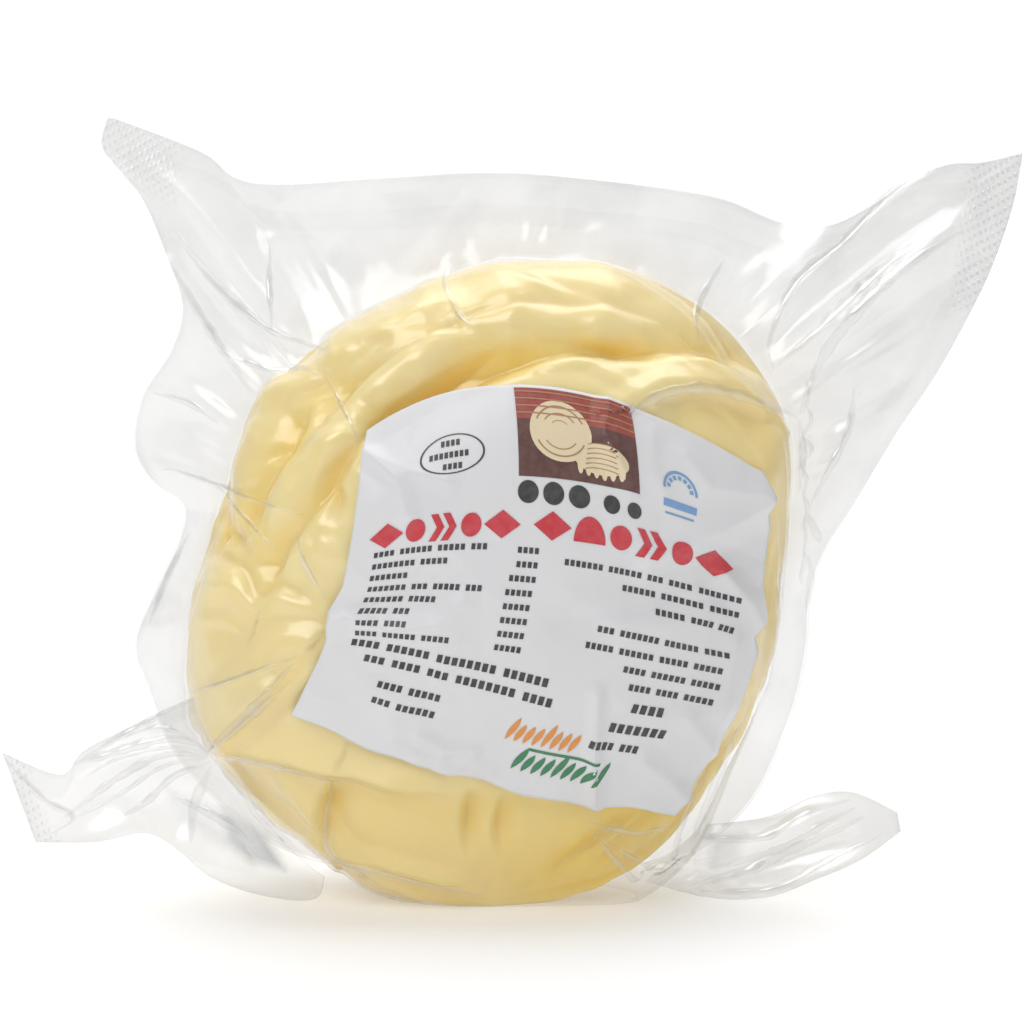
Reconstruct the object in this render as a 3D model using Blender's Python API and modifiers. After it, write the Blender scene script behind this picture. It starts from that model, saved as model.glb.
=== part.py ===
# A ball of pulled-curd string cheese, wound up from one long strand and vacuum-packed in a clear pouch.
# The pouch clings to the ball, and what is left of it stands round it as a wavy flange with four corners:
# two stand up, and two are gathered into wings at the foot. A paper label is stuck on the front.
# The object stands on a small flat at the foot of the ball, with its origin in the middle of that flat.
# +Z is up and the front looks along -Y. Lengths are in millimetres up to the last step of each piece.

from bisect import bisect_right
from math import acos, asin, atan2, copysign, cos, hypot, pi, radians, sin, sqrt

import bmesh
import bpy
from mathutils import Matrix, Vector

MM = 0.001

# The ball: its middle height, its depth, and how full its section is (1 is an ellipse, less is squarer).
BALL_WIDTH = 116.0
BALL_HEIGHT = 125.0
BALL_DEPTH = 64.0
BALL_MIDDLE = Vector((0.0, 0.0, 62.4))
BALL_FULLNESS = 0.95

# The ball's outline seen from the front, as (x, z), anticlockwise from the right side.
BALL_OUTLINE = [
    (57.0, 62.0), (57.8, 76.0), (58.0, 92.0), (48.0, 107.5), (36.5, 117.0), (21.0, 123.0), (4.0, 124.6),
    (-12.0, 120.0), (-31.0, 109.0), (-47.0, 92.0), (-54.5, 75.0), (-58.0, 57.6), (-57.6, 38.0), (-50.0, 24.0),
    (-39.0, 11.0), (-24.0, -0.6), (0.0, -5.6), (24.0, -3.6), (39.0, 7.0), (47.0, 24.0), (54.0, 43.0),
]

# How the strand is wound. Each turn runs round the ball in the plane through three (x, y, z) points, where y
# is only the sign of the side that the point lies on. A turn has a width, a crown and a depth below the skin.
STRAND_BED = -6.0
TURNS = [
    dict(through=((-50, 1, 92), (0, 1, 70), (50, 1, 44)), width=44, crown=4.0, sunk=1.6),
    dict(through=((-40, 1, 88), (0, 1, 104), (40, 1, 92)), width=42, crown=4.2, sunk=1.2),
    dict(through=((-44, 1, 40), (4, 1, 84), (40, 1, 108)), width=28, crown=4.6, sunk=0.4),
    dict(through=((-46, -1, 18), (0, -1, 10), (44, -1, 18)), width=38, crown=3.0, sunk=1.4),
    dict(through=((-42, -1, 94), (-49, -1, 80), (-51, -1, 66)), width=18, crown=4.6, sunk=1.8),
    dict(through=((-33, -1, 108), (2, -1, 121), (40, -1, 116)), width=35, crown=4.4, sunk=0.2),
    dict(through=((-27.4, -1, 95), (-38.6, -1, 80), (-43.6, -1, 67)), width=15, crown=5.4, sunk=0.2),
    dict(through=((-27, -1, 74), (14, -1, 90), (53, -1, 86)), width=37, crown=4.2, sunk=0.0),
    dict(through=((-55, -1, 47), (-30, -1, 43), (10, -1, 39)), width=38, crown=4.2, sunk=0.0),
]

# The rim of the flange as (x, y, z), anticlockwise from the right side. At the foot it lies on the floor
# behind the ball, and at the top it waves to and fro.
RIM = [
    (62.0, 8.0, 57.0), (64.5, 4.0, 66.4), (69.5, 1.0, 75.3), (77.6, -3.0, 90.0), (85.2, -6.0, 102.3),
    (91.8, -8.0, 115.2), (95.6, -8.5, 124.0), (98.8, -8.5, 134.0), (100.2, -8.2, 141.6), (100.6, -8.0, 143.5),
    (99.2, -8.0, 143.3), (93.0, -7.0, 141.8), (86.8, -6.0, 141.4),
    (79.5, -4.0, 138.4), (72.6, -2.0, 133.4), (64.0, 1.5, 129.2), (55.0, 4.5, 130.0), (43.6, 5.5, 134.4),
    (24.4, 2.5, 137.5), (2.0, -2.0, 139.6), (-20.0, -2.5, 138.6), (-39.9, 3.0, 137.1), (-48.8, 6.0, 138.2),
    (-55.3, 8.0, 143.0), (-71.0, 9.5, 149.0), (-73.2, 9.5, 149.6), (-73.9, 9.2, 148.0), (-74.1, 8.5, 143.2),
    (-66.8, 6.0, 134.6), (-61.8, 4.0, 123.1),
    (-58.8, 2.0, 114.0), (-61.0, 3.0, 105.5), (-67.0, 7.0, 96.0), (-68.6, 8.0, 86.0), (-65.0, 6.0, 79.6),
    (-59.2, 4.0, 75.5), (-59.8, 4.0, 69.0), (-64.6, 6.0, 58.6), (-68.8, 6.5, 48.0), (-66.5, 8.0, 39.0),
    (-61.0, 14.0, 24.0), (-48.0, 20.0, 9.5), (-34.0, 25.0, 1.6), (-17.0, 28.0, 0.7), (2.0, 29.0, 0.7),
    (21.0, 28.0, 0.7), (38.0, 25.0, 2.4), (51.0, 21.0, 14.0), (58.5, 17.0, 31.0), (61.5, 13.0, 45.0),
]
FILM_HALF = 0.6
SEAM_TURN = radians(26)
SEAM_REACH = radians(9)

# Radial pleats of the flange: where each crest is, as an angle in degrees, its half width there, its height.
PLEATS = [(8, 7, 1.6), (24, 6, -1.8), (37, 3, 2.2), (52, 7, -2.4), (70, 6, 1.8), (88, 7, -2.0), (103, 6, 2.2),
          (117, 5, -2.0), (128, 3, 2.0), (142, 6, -1.8), (160, 7, 1.6), (200, 7, 1.8), (338, 8, -1.4)]

# The wings at the foot, each between an upper and a lower edge that start inside the ball, as (x, y, z).
LEFT_WING_TOP = [(-30.0, -16.0, 47.0), (-42.0, -19.5, 46.2), (-51.0, -17.0, 43.2), (-62.0, -14.0, 38.6),
                 (-72.0, -13.0, 33.2), (-81.0, -13.0, 26.6), (-93.0, -12.0, 29.8)]
LEFT_WING_FOOT = [(-24.0, -4.0, 10.0), (-33.0, -10.0, 3.4), (-42.0, -13.0, 3.0), (-53.0, -14.0, 7.6),
                  (-63.0, -14.0, 13.6), (-73.0, -15.0, 14.2), (-86.5, -15.0, 12.9)]
LEFT_WING_FOLD = 3.0
RIGHT_WING_TOP = [(34.0, -5.0, 19.0), (45.0, -8.0, 16.4), (54.0, -7.0, 16.6), (62.0, -6.5, 20.2),
                  (69.5, -7.0, 21.2), (78.0, -9.0, 17.6)]
RIGHT_WING_FOOT = [(30.0, -3.0, 6.0), (42.0, -9.5, 1.2), (53.0, -11.0, 1.5), (63.0, -11.0, 5.2),
                   (71.0, -11.0, 8.8), (78.6, -10.0, 14.2)]
RIGHT_WING_FOLD = 2.2

# The label's corners and the middles of its edges as they show from the front, as (x, z), and its paper.
LABEL_TOP = [(-23.0, 90.4), (10.0, 99.0), (50.7, 82.6)]
LABEL_RIGHT = [(35.7, 16.3), (51.5, 52.0), (50.7, 82.6)]
LABEL_FOOT = [(-36.9, 36.1), (-1.0, 24.6), (35.7, 16.3)]
LABEL_LEFT = [(-36.9, 36.1), (-27.4, 61.0), (-23.0, 90.4)]
LABEL_LIFT = 1.1
LABEL_DIP = 1.8
LABEL_THICKNESS = 0.4

# How finely each piece is divided.
BALL_COLUMNS = 84
BALL_RINGS = 16
FLANGE_RINGS = 5
WING_STEPS = (14, 6)
LABEL_STEPS = (18, 14)


def smooth_line(points, closed, steps=12):
    """A curve through the points, as a list of steps positions for each stretch between two of them."""
    line = []
    count = len(points)
    for i in range(count if closed else count - 1):
        if closed:
            before, start, end, after = (Vector(points[(i + k) % count]) for k in (-1, 0, 1, 2))
        else:
            before, start, end, after = (Vector(points[min(max(i + k, 0), count - 1)]) for k in (-1, 0, 1, 2))
        for step in range(steps):
            t = step / steps
            line.append(start + 0.5 * t * ((end - before) + t * (
                2 * before - 5 * start + 4 * end - after + t * (3 * (start - end) + after - before))))
    if not closed:
        line.append(Vector(points[-1]))
    return line


def round_the_middle(points):
    """The points of a closed curve by their angle about the ball's middle, with the angles in one turn."""
    turned = sorted((atan2(p[-1] - BALL_MIDDLE.z, p[0]) % (2 * pi), p) for p in points)
    (first, first_point), (last, last_point) = turned[0], turned[-1]
    turned = [(last - 2 * pi, last_point), *turned, (first + 2 * pi, first_point)]
    return [angle for angle, _ in turned], [point for _, point in turned]


def at_angle(curve, angle):
    """The point of a curve from round_the_middle at this angle."""
    angles, points = curve
    angle %= 2 * pi
    k = min(max(bisect_right(angles, angle), 1), len(angles) - 1)
    span = max(angles[k] - angles[k - 1], 1e-9)
    return points[k - 1].lerp(points[k], (angle - angles[k - 1]) / span)


OUTLINE = round_the_middle(smooth_line(BALL_OUTLINE, closed=True))
RIM_LINE = round_the_middle(smooth_line(RIM, closed=True))


def outline_radius(angle):
    x, z = at_angle(OUTLINE, angle)
    return hypot(x, z - BALL_MIDDLE.z)


def angle_and_tilt(x, z):
    """Where a point that shows at (x, z) on the ball's front lies on it, as for ball_point."""
    angle = atan2(z - BALL_MIDDLE.z, x)
    out = min(hypot(x, z - BALL_MIDDLE.z) / outline_radius(angle), 0.995)
    return angle, asin(out ** (1 / BALL_FULLNESS))


def facing(angle, tilt):
    """The direction from the ball's middle, were it a sphere."""
    return Vector((cos(angle) * sin(tilt), -cos(tilt), sin(angle) * sin(tilt)))


def wound(turn):
    """The plane of a turn of the strand: its normal and its distance from the ball's middle."""
    ends = []
    for x, side, z in turn["through"]:
        angle, tilt = angle_and_tilt(x, z)
        ends.append(facing(angle, tilt if side < 0 else pi - tilt))
    a, b, c = ends
    normal = (b - a).cross(c - a).normalized()
    return normal, normal.dot(a), turn["width"] / BALL_WIDTH, turn["crown"], turn["sunk"]


WOUND = [wound(turn) for turn in TURNS]


def strand_relief(direction):
    """How far the strands lie below the skin in this direction from the ball's middle: the highest turn shows."""
    relief = STRAND_BED
    for normal, distance, half_width, crown, sunk in WOUND:
        off = (normal.dot(direction) - distance) / half_width
        if abs(off) < 1:
            relief = max(relief, -sunk - crown * (1 - sqrt(1 - off * off)))
    return relief


def ball_point(angle, tilt, lift=0.0, deepest=STRAND_BED):
    """A point on the ball: angle runs round the front view from +X, and tilt is 0 at the front."""
    reach = outline_radius(angle)
    out = sin(tilt) ** BALL_FULLNESS
    back = copysign(abs(cos(tilt)) ** BALL_FULLNESS, cos(tilt))
    direction = facing(angle, tilt)
    point = BALL_MIDDLE + Vector((reach * out * cos(angle), -BALL_DEPTH / 2 * back, reach * out * sin(angle)))
    outward = Vector((direction.x / BALL_WIDTH, direction.y / BALL_DEPTH, direction.z / BALL_HEIGHT)).normalized()
    point += outward * (max(strand_relief(direction), deepest) + lift)
    point.z = max(point.z, 0.0)
    return point


def seam_tilt(angle):
    """Where the pouch leaves the ball: on the outline, but further back towards the foot."""
    return pi / 2 + SEAM_TURN * max(0.0, -sin(angle)) ** 1.5


def pleat(angle):
    """The height of the flange's radial pleats at this angle."""
    height = 0.0
    for middle, half_width, rise in PLEATS:
        off = (angle - radians(middle) + pi) % (2 * pi) - pi
        height += rise * max(0.0, 1 - (off / radians(half_width)) ** 2) ** 2
    return height


def flange_point(angle, along, side):
    """A point on one skin of the flange: along runs from the ball to the rim, and side is -1 on the front."""
    tilt = seam_tilt(angle)
    seam, rim = ball_point(angle, tilt), at_angle(RIM_LINE, angle)
    root = ball_point(angle, tilt + side * SEAM_REACH)
    spread = rim - seam
    outward = spread.cross(Vector((-sin(angle), 0.0, cos(angle)))).normalized()
    near = (1 - along) ** 3
    wave = pleat(angle) * sin(pi * min(along * 1.15, 1.0)) * min(spread.length / 40, 1.0)
    point = seam + spread * along + (root - seam) * near
    point += outward * (wave - side * FILM_HALF * (1 - near))
    point.z = max(point.z, FILM_HALF * (1 + side) * (1 - near))
    return point


def column_angles(count):
    """The angles of the pouch's columns, closer together where the rim runs far from the ball or turns."""
    fine = 1440
    reach = [0.0]
    for k in range(fine):
        here, there = (at_angle(RIM_LINE, 2 * pi * (k + s) / fine) for s in (0, 1))
        reach.append(reach[-1] + (there - here).length + 2 * pi / fine * BALL_WIDTH / 2)
    angles = []
    for column in range(count):
        k = bisect_right(reach, reach[-1] * column / count) - 1
        part = (reach[-1] * column / count - reach[k]) / (reach[k + 1] - reach[k])
        angles.append(2 * pi * (k + part) / fine)
    return angles


def material(name, colour, roughness, alpha=1.0):
    made = bpy.data.materials.new(name)
    made.use_nodes = True
    shader = made.node_tree.nodes["Principled BSDF"]
    shader.inputs["Base Color"].default_value = (*colour, 1.0)
    shader.inputs["Roughness"].default_value = roughness
    shader.inputs["Metallic"].default_value = 0.0
    shader.inputs["Alpha"].default_value = alpha
    return made


def add_object(name, bm, collection, finish=None):
    """Makes an object of a mesh in millimetres, scaled to metres, with its faces pointing out."""
    bmesh.ops.recalc_face_normals(bm, faces=bm.faces[:])
    bm.transform(Matrix.Scale(MM, 4))
    mesh = bpy.data.meshes.new(name)
    bm.to_mesh(mesh)
    bm.free()
    mesh.shade_smooth()
    made = bpy.data.objects.new(name, mesh)
    collection.objects.link(made)
    if finish:
        mesh.materials.append(finish)
    return made


def pouch_mesh():
    """A sphere whose rings become, from pole to pole, the ball's front, the flange's two skins, and its back."""
    rings = 2 * (BALL_RINGS + FLANGE_RINGS)
    angles = column_angles(BALL_COLUMNS)
    bm = bmesh.new()
    bmesh.ops.create_uvsphere(bm, u_segments=BALL_COLUMNS, v_segments=rings, radius=1.0)
    for vert in bm.verts:
        ring = round(acos(max(-1.0, min(1.0, vert.co.z))) / pi * rings)
        column = round(atan2(vert.co.y, vert.co.x) / (2 * pi) * BALL_COLUMNS) % BALL_COLUMNS
        angle = angles[column]
        side = -1 if ring <= rings // 2 else 1
        step = ring if side < 0 else rings - ring
        if step <= BALL_RINGS:
            edge = seam_tilt(angle) - SEAM_REACH if side < 0 else pi - seam_tilt(angle) - SEAM_REACH
            tilt = edge * step / BALL_RINGS
            vert.co = ball_point(angle, tilt if side < 0 else pi - tilt)
        elif ring == rings // 2:
            vert.co = at_angle(RIM_LINE, angle)
        else:
            vert.co = flange_point(angle, (step - BALL_RINGS) / FLANGE_RINGS, side)
    return bm


def wing(name, top, foot, fold, collection):
    """A gathered corner of film: a grid between two edges, folded lengthwise, with the film's thickness."""
    along, across = WING_STEPS
    tops = smooth_line(top, closed=False)
    foots = smooth_line(foot, closed=False)
    bm = bmesh.new()
    bmesh.ops.create_grid(bm, x_segments=along, y_segments=across, size=0.5)
    for vert in bm.verts:
        u, v = vert.co.x + 0.5, vert.co.y + 0.5
        k = round(u * (len(tops) - 1))
        vert.co = foots[k].lerp(tops[k], v)
        vert.co.y -= fold * sin(pi * v) * sin(pi * min(1.0, u * 1.2)) * cos(2 * pi * v + 2 * u)
    made = add_object(name, bm, collection)
    thick = made.modifiers.new("film", "SOLIDIFY")
    thick.thickness = 2 * FILM_HALF * MM
    thick.offset = 0.0
    return made


def along_edge(edge, t):
    """A point on the parabola through the start, the middle and the end of an edge."""
    start, middle, end = (Vector(point) for point in edge)
    bend = 2 * middle - 0.5 * (start + end)
    return (1 - t) ** 2 * start + 2 * t * (1 - t) * bend + t * t * end


def label_view(u, v):
    """Where a point of the label shows from the front: u runs to the right and v up, both from 0 to 1."""
    rows = along_edge(LABEL_FOOT, u).lerp(along_edge(LABEL_TOP, u), v)
    columns = along_edge(LABEL_LEFT, v).lerp(along_edge(LABEL_RIGHT, v), u)
    low = Vector(LABEL_FOOT[0]).lerp(Vector(LABEL_FOOT[2]), u)
    high = Vector(LABEL_TOP[0]).lerp(Vector(LABEL_TOP[2]), u)
    return rows + columns - low.lerp(high, v)


def label_point(u, v):
    """A point of the label on the ball's front, lifted clear of the film. It bridges the deeper grooves."""
    angle, tilt = angle_and_tilt(*label_view(u, v))
    return ball_point(angle, tilt, LABEL_LIFT, -LABEL_DIP)


def add_label(collection):
    bm = bmesh.new()
    bmesh.ops.create_grid(bm, x_segments=LABEL_STEPS[0], y_segments=LABEL_STEPS[1], size=0.5)
    for vert in bm.verts:
        vert.co = label_point(vert.co.x + 0.5, vert.co.y + 0.5)
    paper = add_object("label", bm, collection, material("white_paper", (0.88, 0.88, 0.9), 0.45))
    thick = paper.modifiers.new("paper", "SOLIDIFY")
    thick.thickness = LABEL_THICKNESS * MM
    thick.offset = 0.0


def add_pouch(collection):
    """The ball in its film, with the two wings joined to it."""
    film = material("film_over_cheese", (0.9, 0.8, 0.55), 0.3)
    pouch = add_object("vacuum_pouch", pouch_mesh(), collection, film)
    corners = bpy.data.collections.new("gathered_corners")
    bpy.context.scene.collection.children.link(corners)
    wings = [
        wing("left_wing", LEFT_WING_TOP, LEFT_WING_FOOT, LEFT_WING_FOLD, corners),
        wing("right_wing", RIGHT_WING_TOP, RIGHT_WING_FOOT, RIGHT_WING_FOLD, corners),
    ]
    for piece in wings:
        piece.hide_render = True
        piece.display_type = "WIRE"
    join = pouch.modifiers.new("join_corners", "BOOLEAN")
    join.operation = "UNION"
    join.operand_type = "COLLECTION"
    join.collection = corners


def main():
    for old in list(bpy.data.objects):
        bpy.data.objects.remove(old, do_unlink=True)
    pack = bpy.data.collections.new("string_cheese_pack")
    bpy.context.scene.collection.children.link(pack)
    add_pouch(pack)
    add_label(pack)


main()
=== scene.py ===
import math

import bmesh
import bpy
import numpy as np
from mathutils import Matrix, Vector, kdtree


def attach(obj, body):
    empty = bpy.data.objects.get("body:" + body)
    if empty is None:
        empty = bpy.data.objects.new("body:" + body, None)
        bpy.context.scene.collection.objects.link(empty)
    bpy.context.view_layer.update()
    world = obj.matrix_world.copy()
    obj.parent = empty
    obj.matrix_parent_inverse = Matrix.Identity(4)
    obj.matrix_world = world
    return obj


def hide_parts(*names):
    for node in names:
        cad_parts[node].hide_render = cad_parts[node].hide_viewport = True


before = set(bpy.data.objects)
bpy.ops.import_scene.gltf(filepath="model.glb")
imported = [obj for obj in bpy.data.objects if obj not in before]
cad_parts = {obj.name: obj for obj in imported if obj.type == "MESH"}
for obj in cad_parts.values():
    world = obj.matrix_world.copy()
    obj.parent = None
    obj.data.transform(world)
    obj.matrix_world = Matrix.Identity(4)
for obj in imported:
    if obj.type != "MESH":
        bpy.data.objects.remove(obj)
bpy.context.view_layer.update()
print("frame loaded")

mm = 0.001  # every shape below is worked out in millimetres and scaled once, when its mesh is made
rng = np.random.default_rng(7)

# the ball, as in the CAD model: outline from the front as (x, z), and the turns of its strand
ball = dict(
    width=116.0, height=125.0, depth=64.0, middleZ=62.4, fullness=0.95,
    outline=[
        (57.0, 62.0), (57.8, 76.0), (58.0, 92.0), (48.0, 107.5), (36.5, 117.0), (21.0, 123.0), (4.0, 124.6),
        (-12.0, 120.0), (-31.0, 109.0), (-47.0, 92.0), (-54.5, 75.0), (-58.0, 57.6), (-57.6, 38.0),
        (-50.0, 24.0), (-39.0, 11.0), (-24.0, -0.6), (0.0, -5.6), (24.0, -3.6), (39.0, 7.0), (47.0, 24.0),
        (54.0, 43.0),
    ],
    bed=-6.0,
    turns=[  # three (x, side, z) points each turn runs through, its width, its crown and how deep it lies
        dict(through=((-50, 1, 92), (0, 1, 70), (50, 1, 44)), width=44, crown=4.0, sunk=1.6),
        dict(through=((-40, 1, 88), (0, 1, 104), (40, 1, 92)), width=42, crown=4.2, sunk=1.2),
        dict(through=((-44, 1, 40), (4, 1, 84), (40, 1, 108)), width=28, crown=4.6, sunk=0.4),
        dict(through=((-46, -1, 18), (0, -1, 10), (44, -1, 18)), width=38, crown=3.0, sunk=1.4),
        dict(through=((-42, -1, 94), (-49, -1, 80), (-51, -1, 66)), width=18, crown=4.6, sunk=1.8),
        dict(through=((-33, -1, 108), (2, -1, 121), (40, -1, 116)), width=35, crown=4.4, sunk=0.2),
        dict(through=((-27.4, -1, 95), (-38.6, -1, 80), (-43.6, -1, 67)), width=15, crown=5.4, sunk=0.2),
        dict(through=((-27, -1, 74), (14, -1, 90), (53, -1, 86)), width=37, crown=4.2, sunk=0.0),
        dict(through=((-55, -1, 47), (-30, -1, 43), (10, -1, 39)), width=38, crown=4.2, sunk=0.0),
    ],
)

# the loose film round the ball: its rim as (x, y, z), and the crests of its radial pleats in degrees
flange = dict(
    rim=[
        (62.0, 8.0, 57.0), (64.5, 4.0, 66.4), (69.5, 1.0, 75.3), (77.6, -3.0, 90.0), (85.2, -6.0, 102.3),
        (91.8, -8.0, 115.2), (95.6, -8.5, 124.0), (98.8, -8.5, 134.0), (100.2, -8.2, 141.6),
        (100.6, -8.0, 143.5), (99.2, -8.0, 143.3), (93.0, -7.0, 141.8), (86.8, -6.0, 141.4),
        (79.5, -4.0, 138.4), (72.6, -2.0, 133.4), (64.0, 1.5, 129.2), (55.0, 4.5, 130.0),
        (43.6, 5.5, 134.4), (24.4, 2.5, 137.5), (2.0, -2.0, 139.6), (-20.0, -2.5, 138.6),
        (-39.9, 3.0, 137.1), (-48.8, 6.0, 138.2), (-55.3, 8.0, 143.0), (-71.0, 9.5, 149.0),
        (-73.2, 9.5, 149.6), (-73.9, 9.2, 148.0), (-74.1, 8.5, 143.2), (-66.8, 6.0, 134.6),
        (-61.8, 4.0, 123.1), (-58.8, 2.0, 114.0), (-61.0, 3.0, 105.5), (-67.0, 7.0, 96.0),
        (-68.6, 8.0, 86.0), (-65.0, 6.0, 79.6), (-59.2, 4.0, 75.5), (-59.8, 4.0, 69.0),
        (-64.6, 6.0, 58.6), (-68.8, 6.5, 48.0), (-66.5, 8.0, 39.0), (-61.0, 14.0, 24.0),
        (-48.0, 20.0, 9.5), (-34.0, 25.0, 1.6), (-17.0, 28.0, 0.7), (2.0, 29.0, 0.7), (21.0, 28.0, 0.7),
        (38.0, 25.0, 2.4), (51.0, 21.0, 14.0), (58.5, 17.0, 31.0), (61.5, 13.0, 45.0),
    ],
    half=0.35, seamTurn=math.radians(26), seamReach=math.radians(9),
    pleats=[(8, 7, 1.6), (24, 6, -1.8), (37, 3, 2.2), (52, 7, -2.4), (70, 6, 1.8), (88, 7, -2.0),
            (103, 6, 2.2), (117, 5, -2.0), (128, 3, 2.0), (142, 6, -1.8), (160, 7, 1.6), (200, 7, 1.8),
            (338, 8, -1.4)],
)


def smoothLine(points, closed, steps=16):
    points = np.array(points, float)
    if closed:
        before, start, end, after = (np.roll(points, shift, 0) for shift in (1, 0, -1, -2))
    else:
        padded = np.vstack([points[:1], points, points[-1:]])
        before, start, end, after = padded[:-3], padded[1:-2], padded[2:-1], padded[3:]
    t = (np.arange(steps) / steps)[None, :, None]
    before, start, end, after = (p[:, None] for p in (before, start, end, after))
    line = start + 0.5 * t * ((end - before) + t * (
        2 * before - 5 * start + 4 * end - after + t * (3 * (start - end) + after - before)))
    line = line.reshape(-1, points.shape[1])
    return line if closed else np.vstack([line, points[-1:]])


def byAngle(points):
    line = smoothLine(points, closed=True)
    angles = np.arctan2(line[:, -1] - ball["middleZ"], line[:, 0]) % (2 * np.pi)
    order = np.argsort(angles)
    return angles[order], line[order]


def atAngle(table, angle):
    angles, line = table
    parts = [np.interp(angle % (2 * np.pi), angles, line[:, k], period=2 * np.pi)
             for k in range(line.shape[1])]
    return np.stack(parts, -1)


outlineTable = byAngle(ball["outline"])
rimTable = byAngle(flange["rim"])


def outlineReach(angle):
    spot = atAngle(outlineTable, angle)
    return np.hypot(spot[..., 0], spot[..., 1] - ball["middleZ"])


def angleAndTilt(x, z):  # where a point that shows at (x, z) on the front of the ball lies on it
    angle = np.arctan2(z - ball["middleZ"], x)
    out = np.minimum(np.hypot(x, z - ball["middleZ"]) / outlineReach(angle), 0.995)
    return angle, np.arcsin(out ** (1 / ball["fullness"]))


def facing(angle, tilt):
    return np.stack([np.cos(angle) * np.sin(tilt), -np.cos(tilt) + 0 * angle,
                     np.sin(angle) * np.sin(tilt)], -1)


def wound(turn):
    ends = []
    for x, side, z in turn["through"]:
        angle, tilt = angleAndTilt(np.array(float(x)), np.array(float(z)))
        ends.append(facing(angle, tilt if side < 0 else np.pi - tilt))
    normal = np.cross(ends[1] - ends[0], ends[2] - ends[0])
    normal /= np.linalg.norm(normal)
    return normal, normal @ ends[0], turn["width"] / ball["width"], turn["crown"], turn["sunk"]


woundTurns = [wound(turn) for turn in ball["turns"]]


def strandRelief(direction):
    relief = np.full(direction.shape[:-1], ball["bed"])
    for normal, distance, halfWidth, crown, sunk in woundTurns:
        off = (direction @ normal - distance) / halfWidth
        height = -sunk - crown * (1 - np.sqrt(np.clip(1 - off * off, 0, 1)))
        relief = np.where(np.abs(off) < 1, np.maximum(relief, height), relief)
    return relief


def ballSpots(angle, tilt, lift=0.0, relief=None):
    direction = facing(angle, tilt)
    reach = outlineReach(angle) * np.sin(tilt) ** ball["fullness"]
    back = np.sign(np.cos(tilt)) * np.abs(np.cos(tilt)) ** ball["fullness"]
    spots = np.stack([reach * np.cos(angle), -ball["depth"] / 2 * back,
                      ball["middleZ"] + reach * np.sin(angle)], -1)
    outward = direction / np.array([ball["width"], ball["depth"], ball["height"]])
    outward /= np.linalg.norm(outward, axis=-1, keepdims=True)
    relief = strandRelief(direction) if relief is None else relief
    spots = spots + outward * (relief + lift)[..., None]
    spots[..., 2] = np.maximum(spots[..., 2], 0.0)
    return spots


def addMesh(name, spots, faces, finish, smooth=True):
    mesh = bpy.data.meshes.new(name)
    mesh.from_pydata((np.asarray(spots).reshape(-1, 3) * mm).tolist(), [], faces)
    mesh.validate()
    if smooth:
        mesh.shade_smooth()
    mesh.materials.append(finish)
    piece = bpy.data.objects.new(name, mesh)
    bpy.context.scene.collection.objects.link(piece)
    return piece


def addMarks(piece, name, values):  # one number a vertex, which the finishes read
    marks = piece.data.attributes.new(name, "FLOAT", "POINT")
    marks.data.foreach_set("value", np.asarray(values, np.float32).ravel())


def gridFaces(rows, columns, wrap=False):
    r, c = np.meshgrid(np.arange(rows - 1), np.arange(columns if wrap else columns - 1), indexing="ij")
    right = (c + 1) % columns
    quads = np.stack([r * columns + c, r * columns + right, (r + 1) * columns + right,
                      (r + 1) * columns + c], -1)
    return quads.reshape(-1, 4).tolist()


def poleToPole(spots):  # rows of rings, with a single vertex for the first and the last row
    rows, columns = spots.shape[:2]
    points = np.vstack([spots[0, :1], spots[1:-1].reshape(-1, 3), spots[-1, :1]])
    ring = np.arange(columns)
    ahead = (ring + 1) % columns
    last = 1 + (rows - 3) * columns
    faces = [[0, int(1 + a), int(1 + b)] for a, b in zip(ring, ahead)]
    faces += [[1 + f for f in face[::-1]] for face in gridFaces(rows - 2, columns, wrap=True)]
    faces += [[len(points) - 1, int(last + b), int(last + a)] for a, b in zip(ring, ahead)]
    return points, faces


def ringValues(values):
    return np.concatenate([values[0, :1], values[1:-1].ravel(), values[-1, :1]])


def alongPath(path, x, z):  # how far view points are from a line of (x, z) points, and on which side
    path = np.asarray(path, float)
    best, side = np.full(x.shape, 1e9), np.ones(x.shape)
    for start, end in zip(path[:-1], path[1:]):
        stretch = end - start
        dx, dz = x - start[0], z - start[1]
        t = np.clip((dx * stretch[0] + dz * stretch[1]) / (stretch @ stretch), 0, 1)
        off = np.hypot(dx - t * stretch[0], dz - t * stretch[1])
        side = np.where(off < best, np.sign(stretch[0] * dz - stretch[1] * dx), side)
        best = np.minimum(best, off)
    return best, side


def insideArea(corners, x, z, soft=1.0):  # 1 well inside an area of the front view, 0 outside it
    corners = np.asarray(corners, float)
    inside = np.zeros(x.shape, bool)
    for (x0, z0), (x1, z1) in zip(corners, np.roll(corners, -1, 0)):
        crosses = (z0 > z) != (z1 > z)
        inside ^= crosses & (x < (x1 - x0) * (z - z0) / (z1 - z0 + 1e-9) + x0)
    off, _ = alongPath(np.vstack([corners, corners[:1]]), x, z)
    return np.clip(0.5 + np.where(inside, off, -off) / (2 * soft), 0, 1)


class Wire:  # a shader socket that takes part in sums
    def __init__(self, tree, socket):
        self.tree, self.socket = tree, socket

    def maths(self, operation, first, second):
        return makeNode(self.tree, "ShaderNodeMath", dict(operation=operation), {0: first, 1: second})

    def __add__(self, other):
        return self.maths("ADD", self, other)

    __radd__ = __add__

    def __sub__(self, other):
        return self.maths("SUBTRACT", self, other)

    def __rsub__(self, other):
        return self.maths("SUBTRACT", other, self)

    def __mul__(self, other):
        return self.maths("MULTIPLY", self, other)

    __rmul__ = __mul__

    def __pow__(self, other):
        return self.maths("POWER", self, other)


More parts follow.
